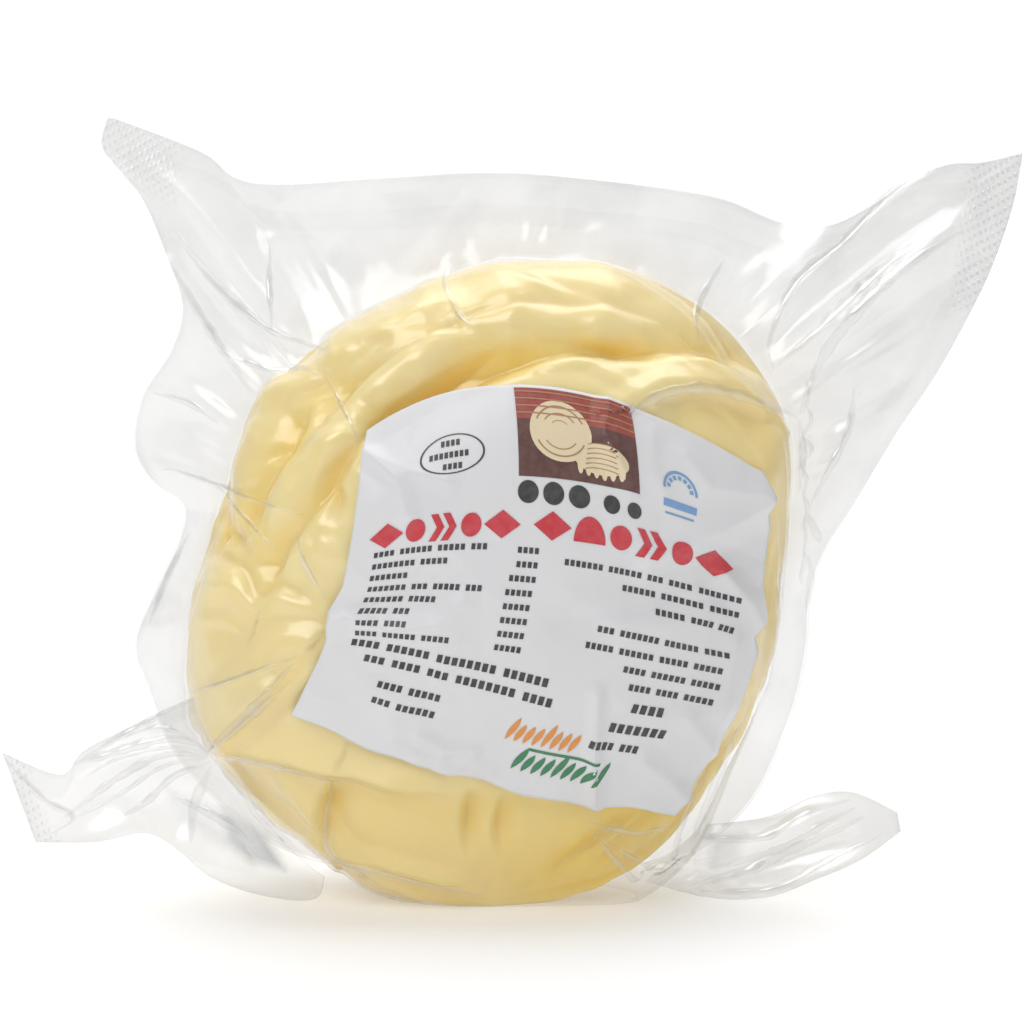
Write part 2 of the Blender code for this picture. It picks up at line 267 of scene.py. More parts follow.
def makeNode(tree, kind, settings=None, inputs=None, output=0):
    node = tree.nodes.new(kind)
    for name, value in (settings or {}).items():
        setattr(node, name, value)
    for name, value in (inputs or {}).items():
        if isinstance(value, Wire):
            tree.links.new(value.socket, node.inputs[name])
        else:
            node.inputs[name].default_value = value
    return Wire(tree, node.outputs[output])


def newFinish(name):
    finish = bpy.data.materials.new(name)
    finish.use_nodes = True
    tree = finish.node_tree
    tree.nodes.clear()
    return finish, tree, tree.nodes.new("ShaderNodeOutputMaterial")


def mark(tree, name):
    return makeNode(tree, "ShaderNodeAttribute", dict(attribute_name=name), output=2)


def places(tree, scale=1.0):
    where = makeNode(tree, "ShaderNodeTexCoord", output=3)
    return makeNode(tree, "ShaderNodeVectorMath", dict(operation="MULTIPLY"), {0: where, 1: (scale,) * 3})


def noise(tree, size, detail=3.0):  # size is in millimetres
    return makeNode(tree, "ShaderNodeTexNoise", {}, {"Vector": places(tree, 1 / (size * mm)), "Scale": 1.0,
                                                     "Detail": detail})


def mixColours(tree, amount, first, second):
    colours = {name: value if isinstance(value, Wire) else (*value, 1.0)
               for name, value in ((6, first), (7, second))}
    return makeNode(tree, "ShaderNodeMix", dict(data_type="RGBA"), {0: amount, **colours}, output=2)


def clamp(tree, value, low, high, newLow=0.0, newHigh=1.0):
    return makeNode(tree, "ShaderNodeMapRange", {}, {0: value, 1: low, 2: high, 3: newLow, 4: newHigh})


cheese = dict(
    # painted shade: the golden colour deepens the grooves, and the warm colour is partly random tone and
    # partly painted shade towards the bottom, the right side and the lee of ridges
    columns=420, rings=232, pale=(1.0, 0.83, 0.44), grooveShadeColour=(1.0, 0.71, 0.16), warm=(1.0, 0.77, 0.33),
    roughness=0.40, subsurface=0.30, glow=(0.012, 0.007, 0.0025), glowScale=0.6, coat=0.8,
    coatRoughness=0.14, ripple=0.14, underFilm=-0.3, grooveDepth=4.6,
    creaseEnds=7, ridgeEnds=6,  # how far from their ends creases and ridges fade
    creases=[  # where turns of the strand meet: (x, z) points, depth, reach to the left and right of it
        ([(-25, 91.5), (-15.2, 96.4), (-4, 103.3), (5.8, 106.2), (14.8, 108.4), (26, 108.6), (39, 108),
          (47.4, 105.5), (53, 101)], 3.6, 7.5, 1.2),
        ([(-46, 92), (-36, 99.5), (-28, 104.5), (-9.5, 114.5), (-4.8, 112.2), (9.6, 111)], 1.3, 1.6, 3.5),
        ([(-24, 93), (-30, 83), (-35.5, 75.5), (-40.1, 68.9), (-43, 60)], 3.4, 1.3, 6.0),
        ([(-34, 100), (-38.5, 91), (-44.5, 80.3), (-47.4, 67.6)], 2.4, 1.2, 4.0),
        ([(-58, 67.5), (-48.6, 66.2), (-44.9, 60.7), (-39.7, 63.4), (-30.9, 59.3)], 2.2, 5.0, 1.1),
        ([(30, 97.5), (40, 98.6), (49, 96), (57, 91)], 2.0, 0.8, 8.0),
        ([(-31, 26), (-20, 20), (-4, 17.5), (12, 17)], 0.7, 3.0, 5.0),
        ([(56, 74), (54.4, 58), (53.2, 42)], 1.2, 0.8, 2.5),
        ([(-29.4, 27.5), (-32.4, 18), (-31, 8)], 3.4, 4.5, 0.9),
        ([(-3.2, 26), (-5, 17), (-3.8, 9)], 2.6, 3.6, 0.9),
        ([(3.2, 25), (1.2, 16), (2.7, 8)], 2.3, 3.6, 0.9),
        ([(10, 3), (19, 9), (31, 18)], 2.2, 3.4, 1.2),
        ([(19, 3), (27, 10), (36, 21)], 1.2, 2.6, 1.2),
        ([(-57, 52), (-50, 54), (-43, 50)], 1.2, 1.4, 4.5),
        ([(-57, 76), (-51, 71), (-44, 68)], 3.6, 3.6, 2.0),
        ([(-34, 87), (-29, 81), (-31, 75)], 3.2, 1.5, 3.4),
        ([(-20, 92), (-30, 95), (-37, 90)], 1.6, 1.2, 3.0),
    ],
    ridges=[  # sharp folds that the tight film pulls up: points, height, flat slopes to the left and right
        ([(-54.3, 30.5), (-45, 40), (-36.9, 49)], 3.6, 9.0, 5.5),
        ([(-54.3, 30.5), (-42, 30.5), (-29.8, 28.0), (-14, 24.5)], 2.3, 6.0, 2.6),
        ([(-34, 11.0), (-20, 8.5), (-3, 4.2)], 2.4, 2.6, 3.0),
        ([(-54, 29), (-46, 20), (-38, 8)], 1.4, 3.0, 4.0),
        ([(-36, 76), (-33, 86), (-26, 95)], 1.2, 3.5, 3.0),
        ([(-50, 86), (-42, 98), (-30, 106)], 1.3, 3.0, 5.0),
        ([(-30, 107), (-14, 113), (3, 117.5)], 1.1, 3.0, 4.5),
        ([(14, 112.5), (34, 113), (46, 108)], 1.0, 4.0, 3.0),
        ([(-57, 61), (-49, 63), (-44, 58)], 1.1, 2.5, 4.0),
        ([(20, 96), (33, 102.5), (46, 101), (56, 94)], 1.0, 3.0, 5.0),
    ],
    backCreases=[  # the same for the back
        ([(-55, 72), (-22, 66), (16, 55), (52, 30)], 2.8, 1.2, 6.0),
        ([(-50, 90), (-14, 95), (20, 88), (55, 62)], 2.6, 1.2, 6.5),
        ([(-52, 48), (-24, 46), (8, 32), (32, 6)], 2.6, 1.2, 6.0),
        ([(-40, 18), (-18, 22), (0, 14), (10, 0)], 2.0, 1.0, 5.0),
        ([(50, 96), (34, 76), (10, 70), (-10, 76)], 1.8, 4.5, 1.0),
    ],
    backLumps=[(6, 117, 20.0, 3.4), (-12, 112, 13.0, 2.4), (26, 112, 12.0, 2.0), (-30, 78, 12.0, 1.2),
               (28, 44, 14.0, 1.2), (-8, 36, 12.0, 1.0)],
    shrink=[(298, 34, 6.0)],  # where the curd stays behind the film at the foot: angle, reach, depth
    lumps=[  # (x, z), width and height of soft swellings
        (11.5, 109.6, 5.0, 1.6), (-19, 108.5, 7.0, 1.2), (-45, 97, 6.0, 0.9), (-47, 45, 14.0, 1.0),
        (53, 84, 5.0, 1.2), (-29, 88, 5.0, 0.8), (24, 116, 9.0, 0.8),
    ],
)


tension = [(rng.uniform(0, np.pi), rng.uniform(3.2, 6.5), rng.uniform(0, 6), rng.uniform(0.25, 0.5))
           for _ in range(7)]


def tensionFolds(x, z):  # the tight film presses flat facets into the curd
    height = np.zeros(x.shape)
    for turn, wide, start, high in tension:
        run = (x * math.cos(turn) + z * math.sin(turn) + 1.5 * np.sin((x - z) / 17 + start)) / wide
        height = height + high * (0.64 - np.abs(np.sin(run + start)))
    calm = insideArea([(-56, 58), (-30, 58), (-30, 36), (-50, 22), (-58, 36)], x, z, 6.0)
    calm = np.maximum(calm, insideArea([(16, 106), (40, 106), (50, 98), (30, 97), (14, 101)], x, z, 4.0))
    busy = insideArea([(-62, 60), (-20, 60), (-20, 90), (-2, 100), (30, 112), (20, 130), (-62, 130)],
                      x, z, 5.0)
    return height * (0.3 + 0.7 * busy) * (1 - 0.85 * calm)


def toEnds(path, x, z):  # how far view points are from the nearer end of a path
    (x0, z0), (x1, z1) = path[0], path[-1]
    return np.minimum(np.hypot(x - x0, z - z0), np.hypot(x - x1, z - z1))


def creasesAndLumps(x, z, creases, lumps):
    depth = np.zeros(x.shape)
    for path, deep, left, right in creases:
        off, side = alongPath(smoothLine(path, False, 4), x, z)
        reach = np.where(side > 0, left, right)
        fade = np.clip(toEnds(path, x, z) / cheese["creaseEnds"], 0.1, 1)
        depth = np.maximum(depth, deep * np.exp(-(off / reach) ** 1.6) * fade)
    for x0, z0, wide, high in lumps:
        depth = depth - high * np.exp(-((x - x0) ** 2 + (z - z0) ** 2) / wide ** 2)
    return depth


def creaseDepth(x, z, y):  # how far creases cut into the ball: below 0 it swells
    depth = creasesAndLumps(x, z, cheese["creases"], cheese["lumps"]) - tensionFolds(x, z)
    for path, high, left, right in cheese["ridges"]:
        off, side = alongPath(path, x, z)
        slope = np.clip(1 - off / np.where(side > 0, left, right), 0, 1)
        depth = depth - high * slope * np.clip(toEnds(path, x, z) / cheese["ridgeEnds"], 0.3, 1)
    behind = creasesAndLumps(x, z, cheese["backCreases"], cheese["backLumps"]) - 0.6 * tensionFolds(-x, z)
    return np.where(y < 2.0, depth, behind * np.clip((y - 2) / 5, 0, 1))


def cheeseFinish():
    finish, tree, out = newFinish("pulledCurd")
    # painted shade: the groove mark turns the curd golden in its creases
    grooveShade = clamp(tree, mark(tree, "grooveShade") + noise(tree, 14.0) * 0.25 - 0.12, 0.15, 1.0)
    # random tone, plus painted shade from the low mark, mixes the pale and warm colours
    tone = mixColours(tree, clamp(tree, noise(tree, 22.0, 2.0) * 0.7 + mark(tree, "low"), 0.0, 1.0),
                      cheese["pale"], cheese["warm"])
    colour = mixColours(tree, grooveShade, tone, cheese["grooveShadeColour"])
    fibre = makeNode(tree, "ShaderNodeTexWave", dict(bands_direction="DIAGONAL"), {
        "Vector": places(tree, 1 / (9.0 * mm)), "Scale": 1.0, "Distortion": 5.0, "Detail": 2.0}, output=1)
    grain = fibre * 0.5 + noise(tree, 1.6)
    bump = makeNode(tree, "ShaderNodeBump", {}, {"Strength": 0.12, "Distance": 0.4 * mm, "Height": grain})
    shader = makeNode(tree, "ShaderNodeBsdfPrincipled", {}, {
        "Base Color": colour, "Roughness": noise(tree, 8.0) * 0.2 + (cheese["roughness"] - 0.1),
        "Subsurface Weight": cheese["subsurface"], "Subsurface Radius": cheese["glow"],
        "Subsurface Scale": cheese["glowScale"], "Coat Weight": cheese["coat"],
        "Coat Roughness": cheese["coatRoughness"], "Normal": bump})
    tree.links.new(shader.socket, out.inputs["Surface"])
    return finish


def addCheese():
    angle = np.arange(cheese["columns"]) / cheese["columns"] * 2 * np.pi
    tilt = np.linspace(0, np.pi, cheese["rings"])
    tilt, angle = np.meshgrid(tilt, angle, indexing="ij")
    direction = facing(angle, tilt)
    plain = ballSpots(angle, tilt, 0.0, np.zeros(tilt.shape))
    depth = creaseDepth(plain[..., 0], plain[..., 2], plain[..., 1])
    ripple = np.sin(direction @ (23, 11, 31) + 2 * np.sin(direction @ (9, 17, 5)))
    relief = np.maximum(strandRelief(direction) - depth, ball["bed"] - 1.5)
    for middle, reach, behind in cheese["shrink"]:
        relief = relief - behind * bumpAt(angle, middle, reach) * np.sin(tilt) ** 3
    spots = ballSpots(angle, tilt, cheese["underFilm"] + cheese["ripple"] * ripple, relief)
    points, faces = poleToPole(spots)
    piece = addMesh("cheeseBall", points, faces, cheeseFinish())
    # painted shade: the deeper the crease, the more golden the curd
    grooveShade = np.clip((-relief - 0.5) / cheese["grooveDepth"], 0, 1) ** 1.2
    addMarks(piece, "grooveShade", ringValues(grooveShade))
    # painted shade: warmer towards the bottom and the right side, away from the key light
    low = np.clip((48 - plain[..., 2]) / 60, 0, 0.7) + np.clip((plain[..., 0] - 34) / 40, 0, 0.5)
    for path, high, _, _ in cheese["ridges"]:  # painted shade: the lee of a ridge is coloured a little warmer
        off, side = alongPath(path, plain[..., 0], plain[..., 2])
        lee = np.exp(-((off - 1.6) / 1.3) ** 2) * (side < 0) * (plain[..., 1] < 0)
        low = low + 0.22 * high * lee
    addMarks(piece, "low", ringValues(low))
    return piece


film = dict(
    lift=0.35, bridge=-3.6, front=dict(columns=560, ballRows=84, flangeRows=60),
    back=dict(columns=420, ballRows=50, flangeRows=44),
    haze=0.20, tint=(0.970, 0.968, 0.963), body=(0.75, 0.755, 0.76), roughness=0.13, mirror=0.26,
    # the darker body colour at the start of the next line is painted shade for film in shadow
    paintedShade=(0.56, 0.58, 0.60), thick=0.12, dotSize=1.05, dotHaze=0.22, dotDepth=0.5, wrinkle=0.7, bump=0.3,
    edgeHaze=0.5, mostHaze=0.96, crestMirror=0.6, hazeRoughness=0.25, ballHaze=0.022,
    facets=[  # areas of the front view where the two films lie at another slant, as (x, z), and their haze change, which paints the lighter or darker reflection of that slant
        ([(-41.1, 109.8), (-42.8, 126), (-29, 127), (-36, 115)], -0.07),
        ([(-39.4, 135.2), (-27.8, 136.9), (-29, 133.4), (-41.1, 130.6)], -0.06),
        ([(-21.5, 116.7), (-19.2, 120.8), (-2.5, 138.4), (-5.4, 134.6), (-15.7, 119)], -0.10),
        ([(-5.4, 120.8), (-1.9, 129.4), (3.8, 130), (-3, 121.3)], -0.08),
        ([(-39.9, 109.8), (-29, 126), (-19.2, 121.3), (-27.8, 112.1)], 0.06),
        ([(-72.5, 149), (-61.2, 144), (-60, 136), (-72, 142)], 0.07),
        ([(-59, 120), (-48, 106), (-42, 96), (-52, 96), (-62, 106)], -0.06),
        ([(54.1, 104), (67, 121), (82, 129), (77, 119), (62, 102)], -0.08),
        ([(59, 126), (63, 126.5), (60.5, 121.5), (57, 122)], -0.07),
        ([(62.5, 128), (68, 128), (66, 120), (62, 121)], 0.12),
        ([(72, 131.5), (86, 139.5), (91, 139.5), (80, 131)], -0.06),
        ([(58, 96), (66, 104), (84, 118), (74, 104), (66, 92)], 0.05),
        ([(61, 72), (70, 84), (69.5, 96), (64, 86)], 0.05),
        ([(20, 126), (36, 128), (38, 120), (26, 122)], 0.05),
        ([(-62, 96), (-54, 88), (-56, 78), (-66, 84)], 0.04),
        ([(-64, 60), (-58, 56), (-59, 40), (-67, 46)], 0.05),
        ([(-54.3, 31), (-59, 40.5), (-47, 46.5), (-36.5, 50.4), (-45, 40)], 0.07),
        ([(18.4, 19.5), (27, 16), (36, 17), (42, 26), (41, 1), (32, 2), (24, 9)], 0.08),
    ],
    seals=[  # the embossed bands at the corners, and how deep the dots are
        ([(91.5, 142), (101, 145), (100, 128), (95, 113), (88, 115), (90, 130)], 1.0),
        ([(-75, 152), (-60, 145), (-61, 134), (-76, 141)], 0.4),
    ],
    band=dict(start=6.0, end=10.0, haze=0.035),  # the weld line inside the top edge, from the rim
)


def filmFinish(name, embossed=False):
    finish, tree, out = newFinish(name)
    dots = 0.0
    if embossed:
        where = makeNode(tree, "ShaderNodeMapping", {}, {
            "Vector": places(tree, 1 / (film["dotSize"] * mm)), "Rotation": (0.0, 0.35, 0.0),
            "Scale": (1.0, 0.01, 0.62)})
        cells = makeNode(tree, "ShaderNodeTexVoronoi", {}, {
            "Vector": where, "Scale": 1.0, "Randomness": 0.0})
        dots = clamp(tree, cells, 0.34, 0.22) * mark(tree, "seal")
    haze = mark(tree, "haze")
    cloud = haze * (noise(tree, 9.0, 0.0) * 0.5 + 0.75)
    edgeOn = makeNode(tree, "ShaderNodeLayerWeight", {}, {"Blend": 0.5}, output=1)
    amount = clamp(tree, cloud + (edgeOn ** 3.0) * film["edgeHaze"] + dots * film["dotHaze"], 0.0, 1.0, 0.0,
                   film["mostHaze"])
    wrinkle = noise(tree, 5.0, 2.0) * film["wrinkle"] + dots * film["dotDepth"]
    bump = makeNode(tree, "ShaderNodeBump", {}, {
        "Strength": film["bump"], "Distance": 0.6 * mm, "Height": wrinkle})
    # painted shade: the film body turns darker where the shade mark is set
    body = mixColours(tree, mark(tree, "paintedShade"), film["body"], film["paintedShade"])
    solid = makeNode(tree, "ShaderNodeBsdfPrincipled", {}, {
        "Base Color": body, "Metallic": mark(tree, "crest") * film["crestMirror"] + film["mirror"],
        "Roughness": haze * film["hazeRoughness"] + film["roughness"], "Normal": bump})
    clear = makeNode(tree, "ShaderNodeBsdfTransparent", {}, {"Color": (*film["tint"], 1.0)})
    both = makeNode(tree, "ShaderNodeMixShader", {}, {0: amount, 1: clear, 2: solid})
    tree.links.new(both.socket, out.inputs["Surface"])
    return finish


def emboss(piece, name):  # the faces in the sealed bands get their own finish
    seal = np.zeros(len(piece.data.vertices), np.float32)
    piece.data.attributes["seal"].data.foreach_get("value", seal)
    piece.data.materials.append(filmFinish(name + "Seal", True))
    for face in piece.data.polygons:
        face.material_index = int(seal[list(face.vertices)].max() > 0.02)


def seamTilt(angle):
    return np.pi / 2 + flange["seamTurn"] * np.maximum(0.0, -np.sin(angle)) ** 1.5


def bumpAt(angle, middle, halfWidth):  # a smooth hump round an angle, 1 at its middle
    off = (angle - np.radians(middle) + np.pi) % (2 * np.pi) - np.pi
    return np.maximum(0.0, 1 - (off / np.radians(halfWidth)) ** 2) ** 2


finePleats = [(rng.uniform(-10, 215), rng.uniform(0.7, 2.4), rng.uniform(-0.8, 0.8), rng.uniform(0.25, 1.0))
              for _ in range(70)]


def filmBall(angle, tilt):  # the film on the ball: it bridges the deepest creases
    plain = ballSpots(angle, tilt, 0.0, np.zeros(tilt.shape))
    depth = creaseDepth(plain[..., 0], plain[..., 2], plain[..., 1])
    relief = strandRelief(facing(angle, tilt)) - 0.7 * np.maximum(depth, 0) - np.minimum(depth, 0)
    return ballSpots(angle, tilt, film["lift"], np.maximum(relief, film["bridge"]))


wedges = [(rng.uniform(-5, 185), rng.uniform(2.0, 5.0), rng.uniform(0.5, 1.3), rng.uniform(0.35, 1.0),
           rng.choice([-1, 1])) for _ in range(34)]


def flangeSpots(angle, along, side):
    tilt = seamTilt(angle)
    seam = filmBall(angle, tilt)
    root = filmBall(angle, tilt + side * flange["seamReach"])
    rim = atAngle(rimTable, angle)
    spread = rim - seam
    around = np.stack([-np.sin(angle), 0 * angle, np.cos(angle)], -1)
    outward = np.cross(spread, around)
    outward /= np.linalg.norm(outward, axis=-1, keepdims=True)
    near = ((1 - along) ** 3)[..., None]
    size = np.linalg.norm(spread, axis=-1)
    wave = sum(rise * bumpAt(angle, middle, half) for middle, half, rise in flange["pleats"])
    wave = wave * np.sin(np.pi * np.minimum(along * 1.15, 1.0)) * np.minimum(size / 40, 1.0)
    for middle, half, rise, reach in finePleats:
        hump = bumpAt(angle + along * 0.04 * math.sin(middle), middle, half)
        arch = np.sin(np.pi * np.minimum(along / reach, 1.0))
        wave = wave + rise * hump * arch * np.minimum(size / 30, 1.0)
    for middle, half, rise, reach, turn in wedges:  # slanted facets, steep on one side
        off = np.degrees((angle - np.radians(middle) + np.pi) % (2 * np.pi) - np.pi) / half * turn
        slant = np.where(off > 0, 1 - off, 1 + off * 5)
        arch = np.sin(np.pi * np.minimum(along / reach, 1.0))
        wave = wave + rise * np.clip(slant, 0, 1) * arch * np.minimum(size / 30, 1.0)
    ripple = np.sin(9 * angle + side)[..., None]
    gape = side * flange["half"] * (1 - near) * (1 + 0.6 * ripple * (1 - along)[..., None])
    spots = seam + spread * along[..., None] + (root - seam) * near
    spots = spots + outward * (wave[..., None] - gape)
    floor = flange["half"] * (1 + side) * (1 - near[..., 0])
    spots[..., 2] = np.maximum(spots[..., 2], floor)
    return spots


def columnAngles(count):  # closer together where the rim runs far out or turns
    fine = np.linspace(0, 2 * np.pi, 4001)
    rim = atAngle(rimTable, fine)
    step = np.linalg.norm(np.diff(rim, axis=0), axis=1) + 2 * np.pi / 4000 * ball["width"] / 2
    run = np.concatenate([[0], np.cumsum(step)])
    return np.interp(np.arange(count) / count * run[-1], run, fine)


# folds of the front film as they show from the front: (x, z) points, height, width of the welt
folds = [
    ([(20.5, 90), (25.2, 94.6), (28.8, 97.9), (33.4, 99.8), (39.7, 100.2), (48, 98.2), (58.5, 93.3)],
      1.0, 2.4),
    ([(54.4, 103), (63, 111), (77, 124), (87.4, 129.8)], 1.3, 2.2),
    ([(58.9, 94), (64.5, 107), (76, 120.6), (89.6, 129.2)], 1.1, 2.6),
    ([(54, 102.4), (53.2, 108), (58.4, 119.4), (67.4, 126.9), (76, 136.5), (81.6, 139)], 0.9, 1.6),
    ([(69.3, 99), (68.5, 91), (64.5, 82.6), (61.2, 76.2)], 1.0, 1.5),
    ([(58.8, 93), (59.6, 86.6), (58.9, 79)], 0.9, 1.6),
    ([(60.7, 74.5), (62.4, 71), (63.4, 68.4)], 0.7, 1.8),
    ([(39.6, 108.5), (39, 112), (40.1, 116), (44.7, 122.9)], 1.0, 1.6),
    ([(-58, 124.5), (-53.8, 119.5), (-47, 113.4), (-41.7, 109.8), (-35, 107.5), (-30.5, 106.4)],
      0.9, 1.5),
    ([(-41.5, 110), (-42, 118), (-42.4, 126.7)], 0.7, 1.2),
    ([(-60.7, 121.3), (-52.6, 108), (-45.7, 98.3)], 0.9, 1.8),
    ([(-52, 105.5), (-42, 102.6), (-35, 103), (-31.5, 101.5)], 0.7, 1.4),
    ([(-31.3, 103), (-28.4, 97.7), (-25.8, 93.7), (-24.6, 89)], 0.6, 0.9),
    ([(-7.7, 116.8), (-8.5, 120), (-7.2, 122)], 0.9, 1.6),
    ([(-8, 117.5), (-5.4, 113.5), (-3, 112)], 0.7, 1.4),
    ([(-64, 82), (-59.5, 82.2), (-48, 79.3), (-35.1, 76.8)], 0.5, 1.0),
    ([(-52.8, 80.6), (-46.1, 74.9), (-39.7, 69.7)], 0.5, 1.0),
    ([(-36.1, 73.9), (-34.6, 68.2), (-30.7, 61.4)], 0.6, 1.2),
    ([(-54, 30), (-46.1, 37.4), (-37.4, 45.9)], 0.8, 1.5),
    ([(-54, 30), (-42.2, 28.8), (-28.8, 25.9)], 0.8, 1.5),
    ([(-54, 30), (-49.2, 26.5), (-41.1, 13.6), (-39, 9.2), (-35.5, 8.1)], 1.1, 1.7),
    ([(-29.8, 25.9), (-30.9, 11.3), (-19.2, 7.3), (-1.9, 2.9)], 0.7, 1.2),
    ([(56.9, 76), (55.5, 58), (53.4, 40)], 0.7, 1.1),
    ([(18.6, 17.3), (23.2, 10.8), (28.2, 4.6), (31.5, 2.1), (38, 0.8)], 0.7, 1.3),
    ([(61, 66), (62, 62), (61.2, 54)], 0.6, 1.4),
    ([(-52, 92), (-58, 95.5), (-65, 97)], 0.7, 1.5),
    ([(-58, 70), (-62, 62), (-66, 52)], 0.6, 1.4),
    ([(-54, 30.5), (-45, 40), (-36.6, 49.5)], 1.0, 1.8),
    ([(-58, 40.6), (-50, 44.8), (-43, 48), (-36.4, 50.4)], 0.8, 1.0),
    ([(-31, 10.2), (-27.8, 9.4), (-24.6, 5.2), (-21.5, 1.6), (-17, 0.7)], 0.5, 0.8),
    ([(40.6, 1.0), (39.8, 8), (40.4, 16), (44.5, 27), (48, 36)], 1.1, 2.2),
    ([(35.6, 3.2), (35.4, 10), (37, 18), (41.5, 27)], 0.8, 1.4),
    ([(18.4, 18.5), (27, 15.5), (35, 16.5)], 0.6, 1.2),
    ([(22, 14), (29, 9), (37, 4)], 0.5, 0.9),
]
for z in np.linspace(63, 97, 7):  # crinkles down the right edge of the ball
    x, *turns = 59.8 + rng.uniform(-0.8, 0.8, 4)
    path = [(x, z - 3), (turns[0], z - 1), (turns[1] + 0.8, z + 1.4), (turns[2], z + 4)]
    folds.append((path, 0.9, rng.uniform(0.7, 1.3)))


def addFilm(name, side, size):
    angle = columnAngles(size["columns"])
    rows, haze, gaps = [], [], []
    rim = atAngle(rimTable, angle)
    for part in np.linspace(0, 1, size["ballRows"]):
        edge = (seamTilt(angle) if side < 0 else np.pi - seamTilt(angle)) - flange["seamReach"]
        rows.append(filmBall(angle, edge * part if side < 0 else np.pi - edge * part))
        haze.append(film["ballHaze"] + 0.10 * part ** 10 + 0 * angle)
        gaps.append(99 + 0 * angle)
    for along in np.linspace(0, 1, size["flangeRows"] + 1)[1:]:
        spots = flangeSpots(angle, along + 0 * angle, side)
        rows.append(spots)
        gap = np.linalg.norm(spots - rim, axis=1)
        weld = (gap > film["band"]["start"]) & (gap < film["band"]["end"]) & (angle > 0.4) & (angle < 2.3)
        cloud = film["haze"] + 0.06 * math.exp(-along * 7) + 0.12 * np.exp(-gap / 0.8)
        cloud = cloud + film["band"]["haze"] * weld
        cloud = cloud + 0.09 * np.clip((spots[:, 0] - 54) / 12, 0, 1)
        haze.append(cloud + 0.03 * np.sin(5 * angle + 2 * np.sin(11 * angle)) * along)
        gaps.append(gap)
    spots, haze = np.array(rows), np.array(haze)
    x, z = spots[..., 0], spots[..., 2]
    seal = np.zeros(haze.shape)
    for area, deep in film["seals"]:
        seal = np.maximum(seal, deep * insideArea(area, x, z, 1.5))
    if side < 0:
        rise = np.zeros(haze.shape)
        for path, high, wide in folds:
            off = alongPath(path, x, z)[0] / (1.2 * wide)
            rise = np.maximum(rise, np.exp(-off * off) * high * 0.7)
        spots[..., 1] -= rise
        haze = haze + 0.03 * rise
        # painted reflection and shade: slanted areas get more or less haze
        for corners, change in film["facets"]:
            haze = haze + change * insideArea(corners, x, z, 0.9)
    haze = np.clip(haze, 0.01, 1) + 0.06 * seal
    points = np.vstack([spots[0, :1], spots[1:].reshape(-1, 3)])
    count = size["columns"]
    faces = [[0, 1 + k, 1 + (k + 1) % count] for k in range(count)]
    faces += [[1 + index for index in quad[::-1]] for quad in gridFaces(len(spots) - 1, count, wrap=True)]
    if side > 0:
        faces = [face[::-1] for face in faces]
    piece = addMesh(name, points, faces, filmFinish(name))
    for attribute, values in (("haze", haze), ("seal", seal), ("paintedShade", 0 * seal), ("crest", 0 * seal)):
        addMarks(piece, attribute, np.concatenate([values[0, :1], values[1:].ravel()]))
    emboss(piece, name)
    return piece, spots


def skinReader(spots):  # gives the depth (y) of a skin at a point of the front view
    flat = spots.reshape(-1, 3)
    tree = kdtree.KDTree(len(flat))
    for index, (x, _, z) in enumerate(flat):
        tree.insert((x, 0.0, z), index)
    tree.balance()

    def depthAt(x, z):
        found = tree.find_n((x, 0.0, z), 5)
        weights = np.array([1 / (distance + 0.05) ** 2 for _, _, distance in found])
        return float(np.array([flat[index][1] for _, index, _ in found]) @ weights / weights.sum())

    return depthAt


# the last number is painted shade along one flank of each fold
welt = dict(step=0.7, sides=7, share=0.5, haze=0.02, crestHaze=0.28, paintedShade=0.25)  # share: of a fold's height


def weltParts(path, wide, high, depthAt):  # a half-round fold along a line on the film
    line = smoothLine(path, closed=False, steps=10)
    lengths = np.concatenate([[0], np.cumsum(np.linalg.norm(np.diff(line, axis=0), axis=1))])
    count = max(10, int(lengths[-1] / welt["step"]))
    at = np.linspace(0, lengths[-1], count)
    line = np.stack([np.interp(at, lengths, line[:, k]) for k in (0, 1)], -1)
    ahead = np.gradient(line, axis=0)
    ahead /= np.linalg.norm(ahead, axis=1, keepdims=True)
    across = np.stack([-ahead[:, 1], ahead[:, 0]], -1)
    taper = np.sin(np.pi * np.linspace(0.02, 0.98, count)) ** 0.7
    taper *= 1 + 0.25 * np.sin(at * 1.1 + wide) * np.sin(at * 0.37)
    depths = []
    for (x, z), (ax, az), size in zip(line, across, taper):
        half = wide * size / 2
        depths.append([depthAt(x + ax * half * w, z + az * half * w) for w in (-1, 0, 1)])
    depths = np.array(depths)
    for _ in range(3):
        depths[1:-1] = (depths[:-2] + 2 * depths[1:-1] + depths[2:]) / 4
    points, crest, paintedShade = [], [], []
    for (x, z), (ax, az), size, depth in zip(line, across, taper, depths):
        for turn in np.linspace(0, np.pi, welt["sides"]):
            w = -math.cos(turn)
            base = np.interp(w, (-1, 0, 1), depth)
            points.append((x + ax * w * wide * size / 2, base - high * size * math.sin(turn) ** 1.3 - 0.04,
                           z + az * w * wide * size / 2))
            crest.append(math.sin(turn) * size)
            # painted shade along one flank of the fold
            paintedShade.append(welt["paintedShade"] * size * max(0.0, 1 - 2.4 * abs(turn / np.pi - 0.8)))
    return points, gridFaces(count, welt["sides"]), crest, paintedShade


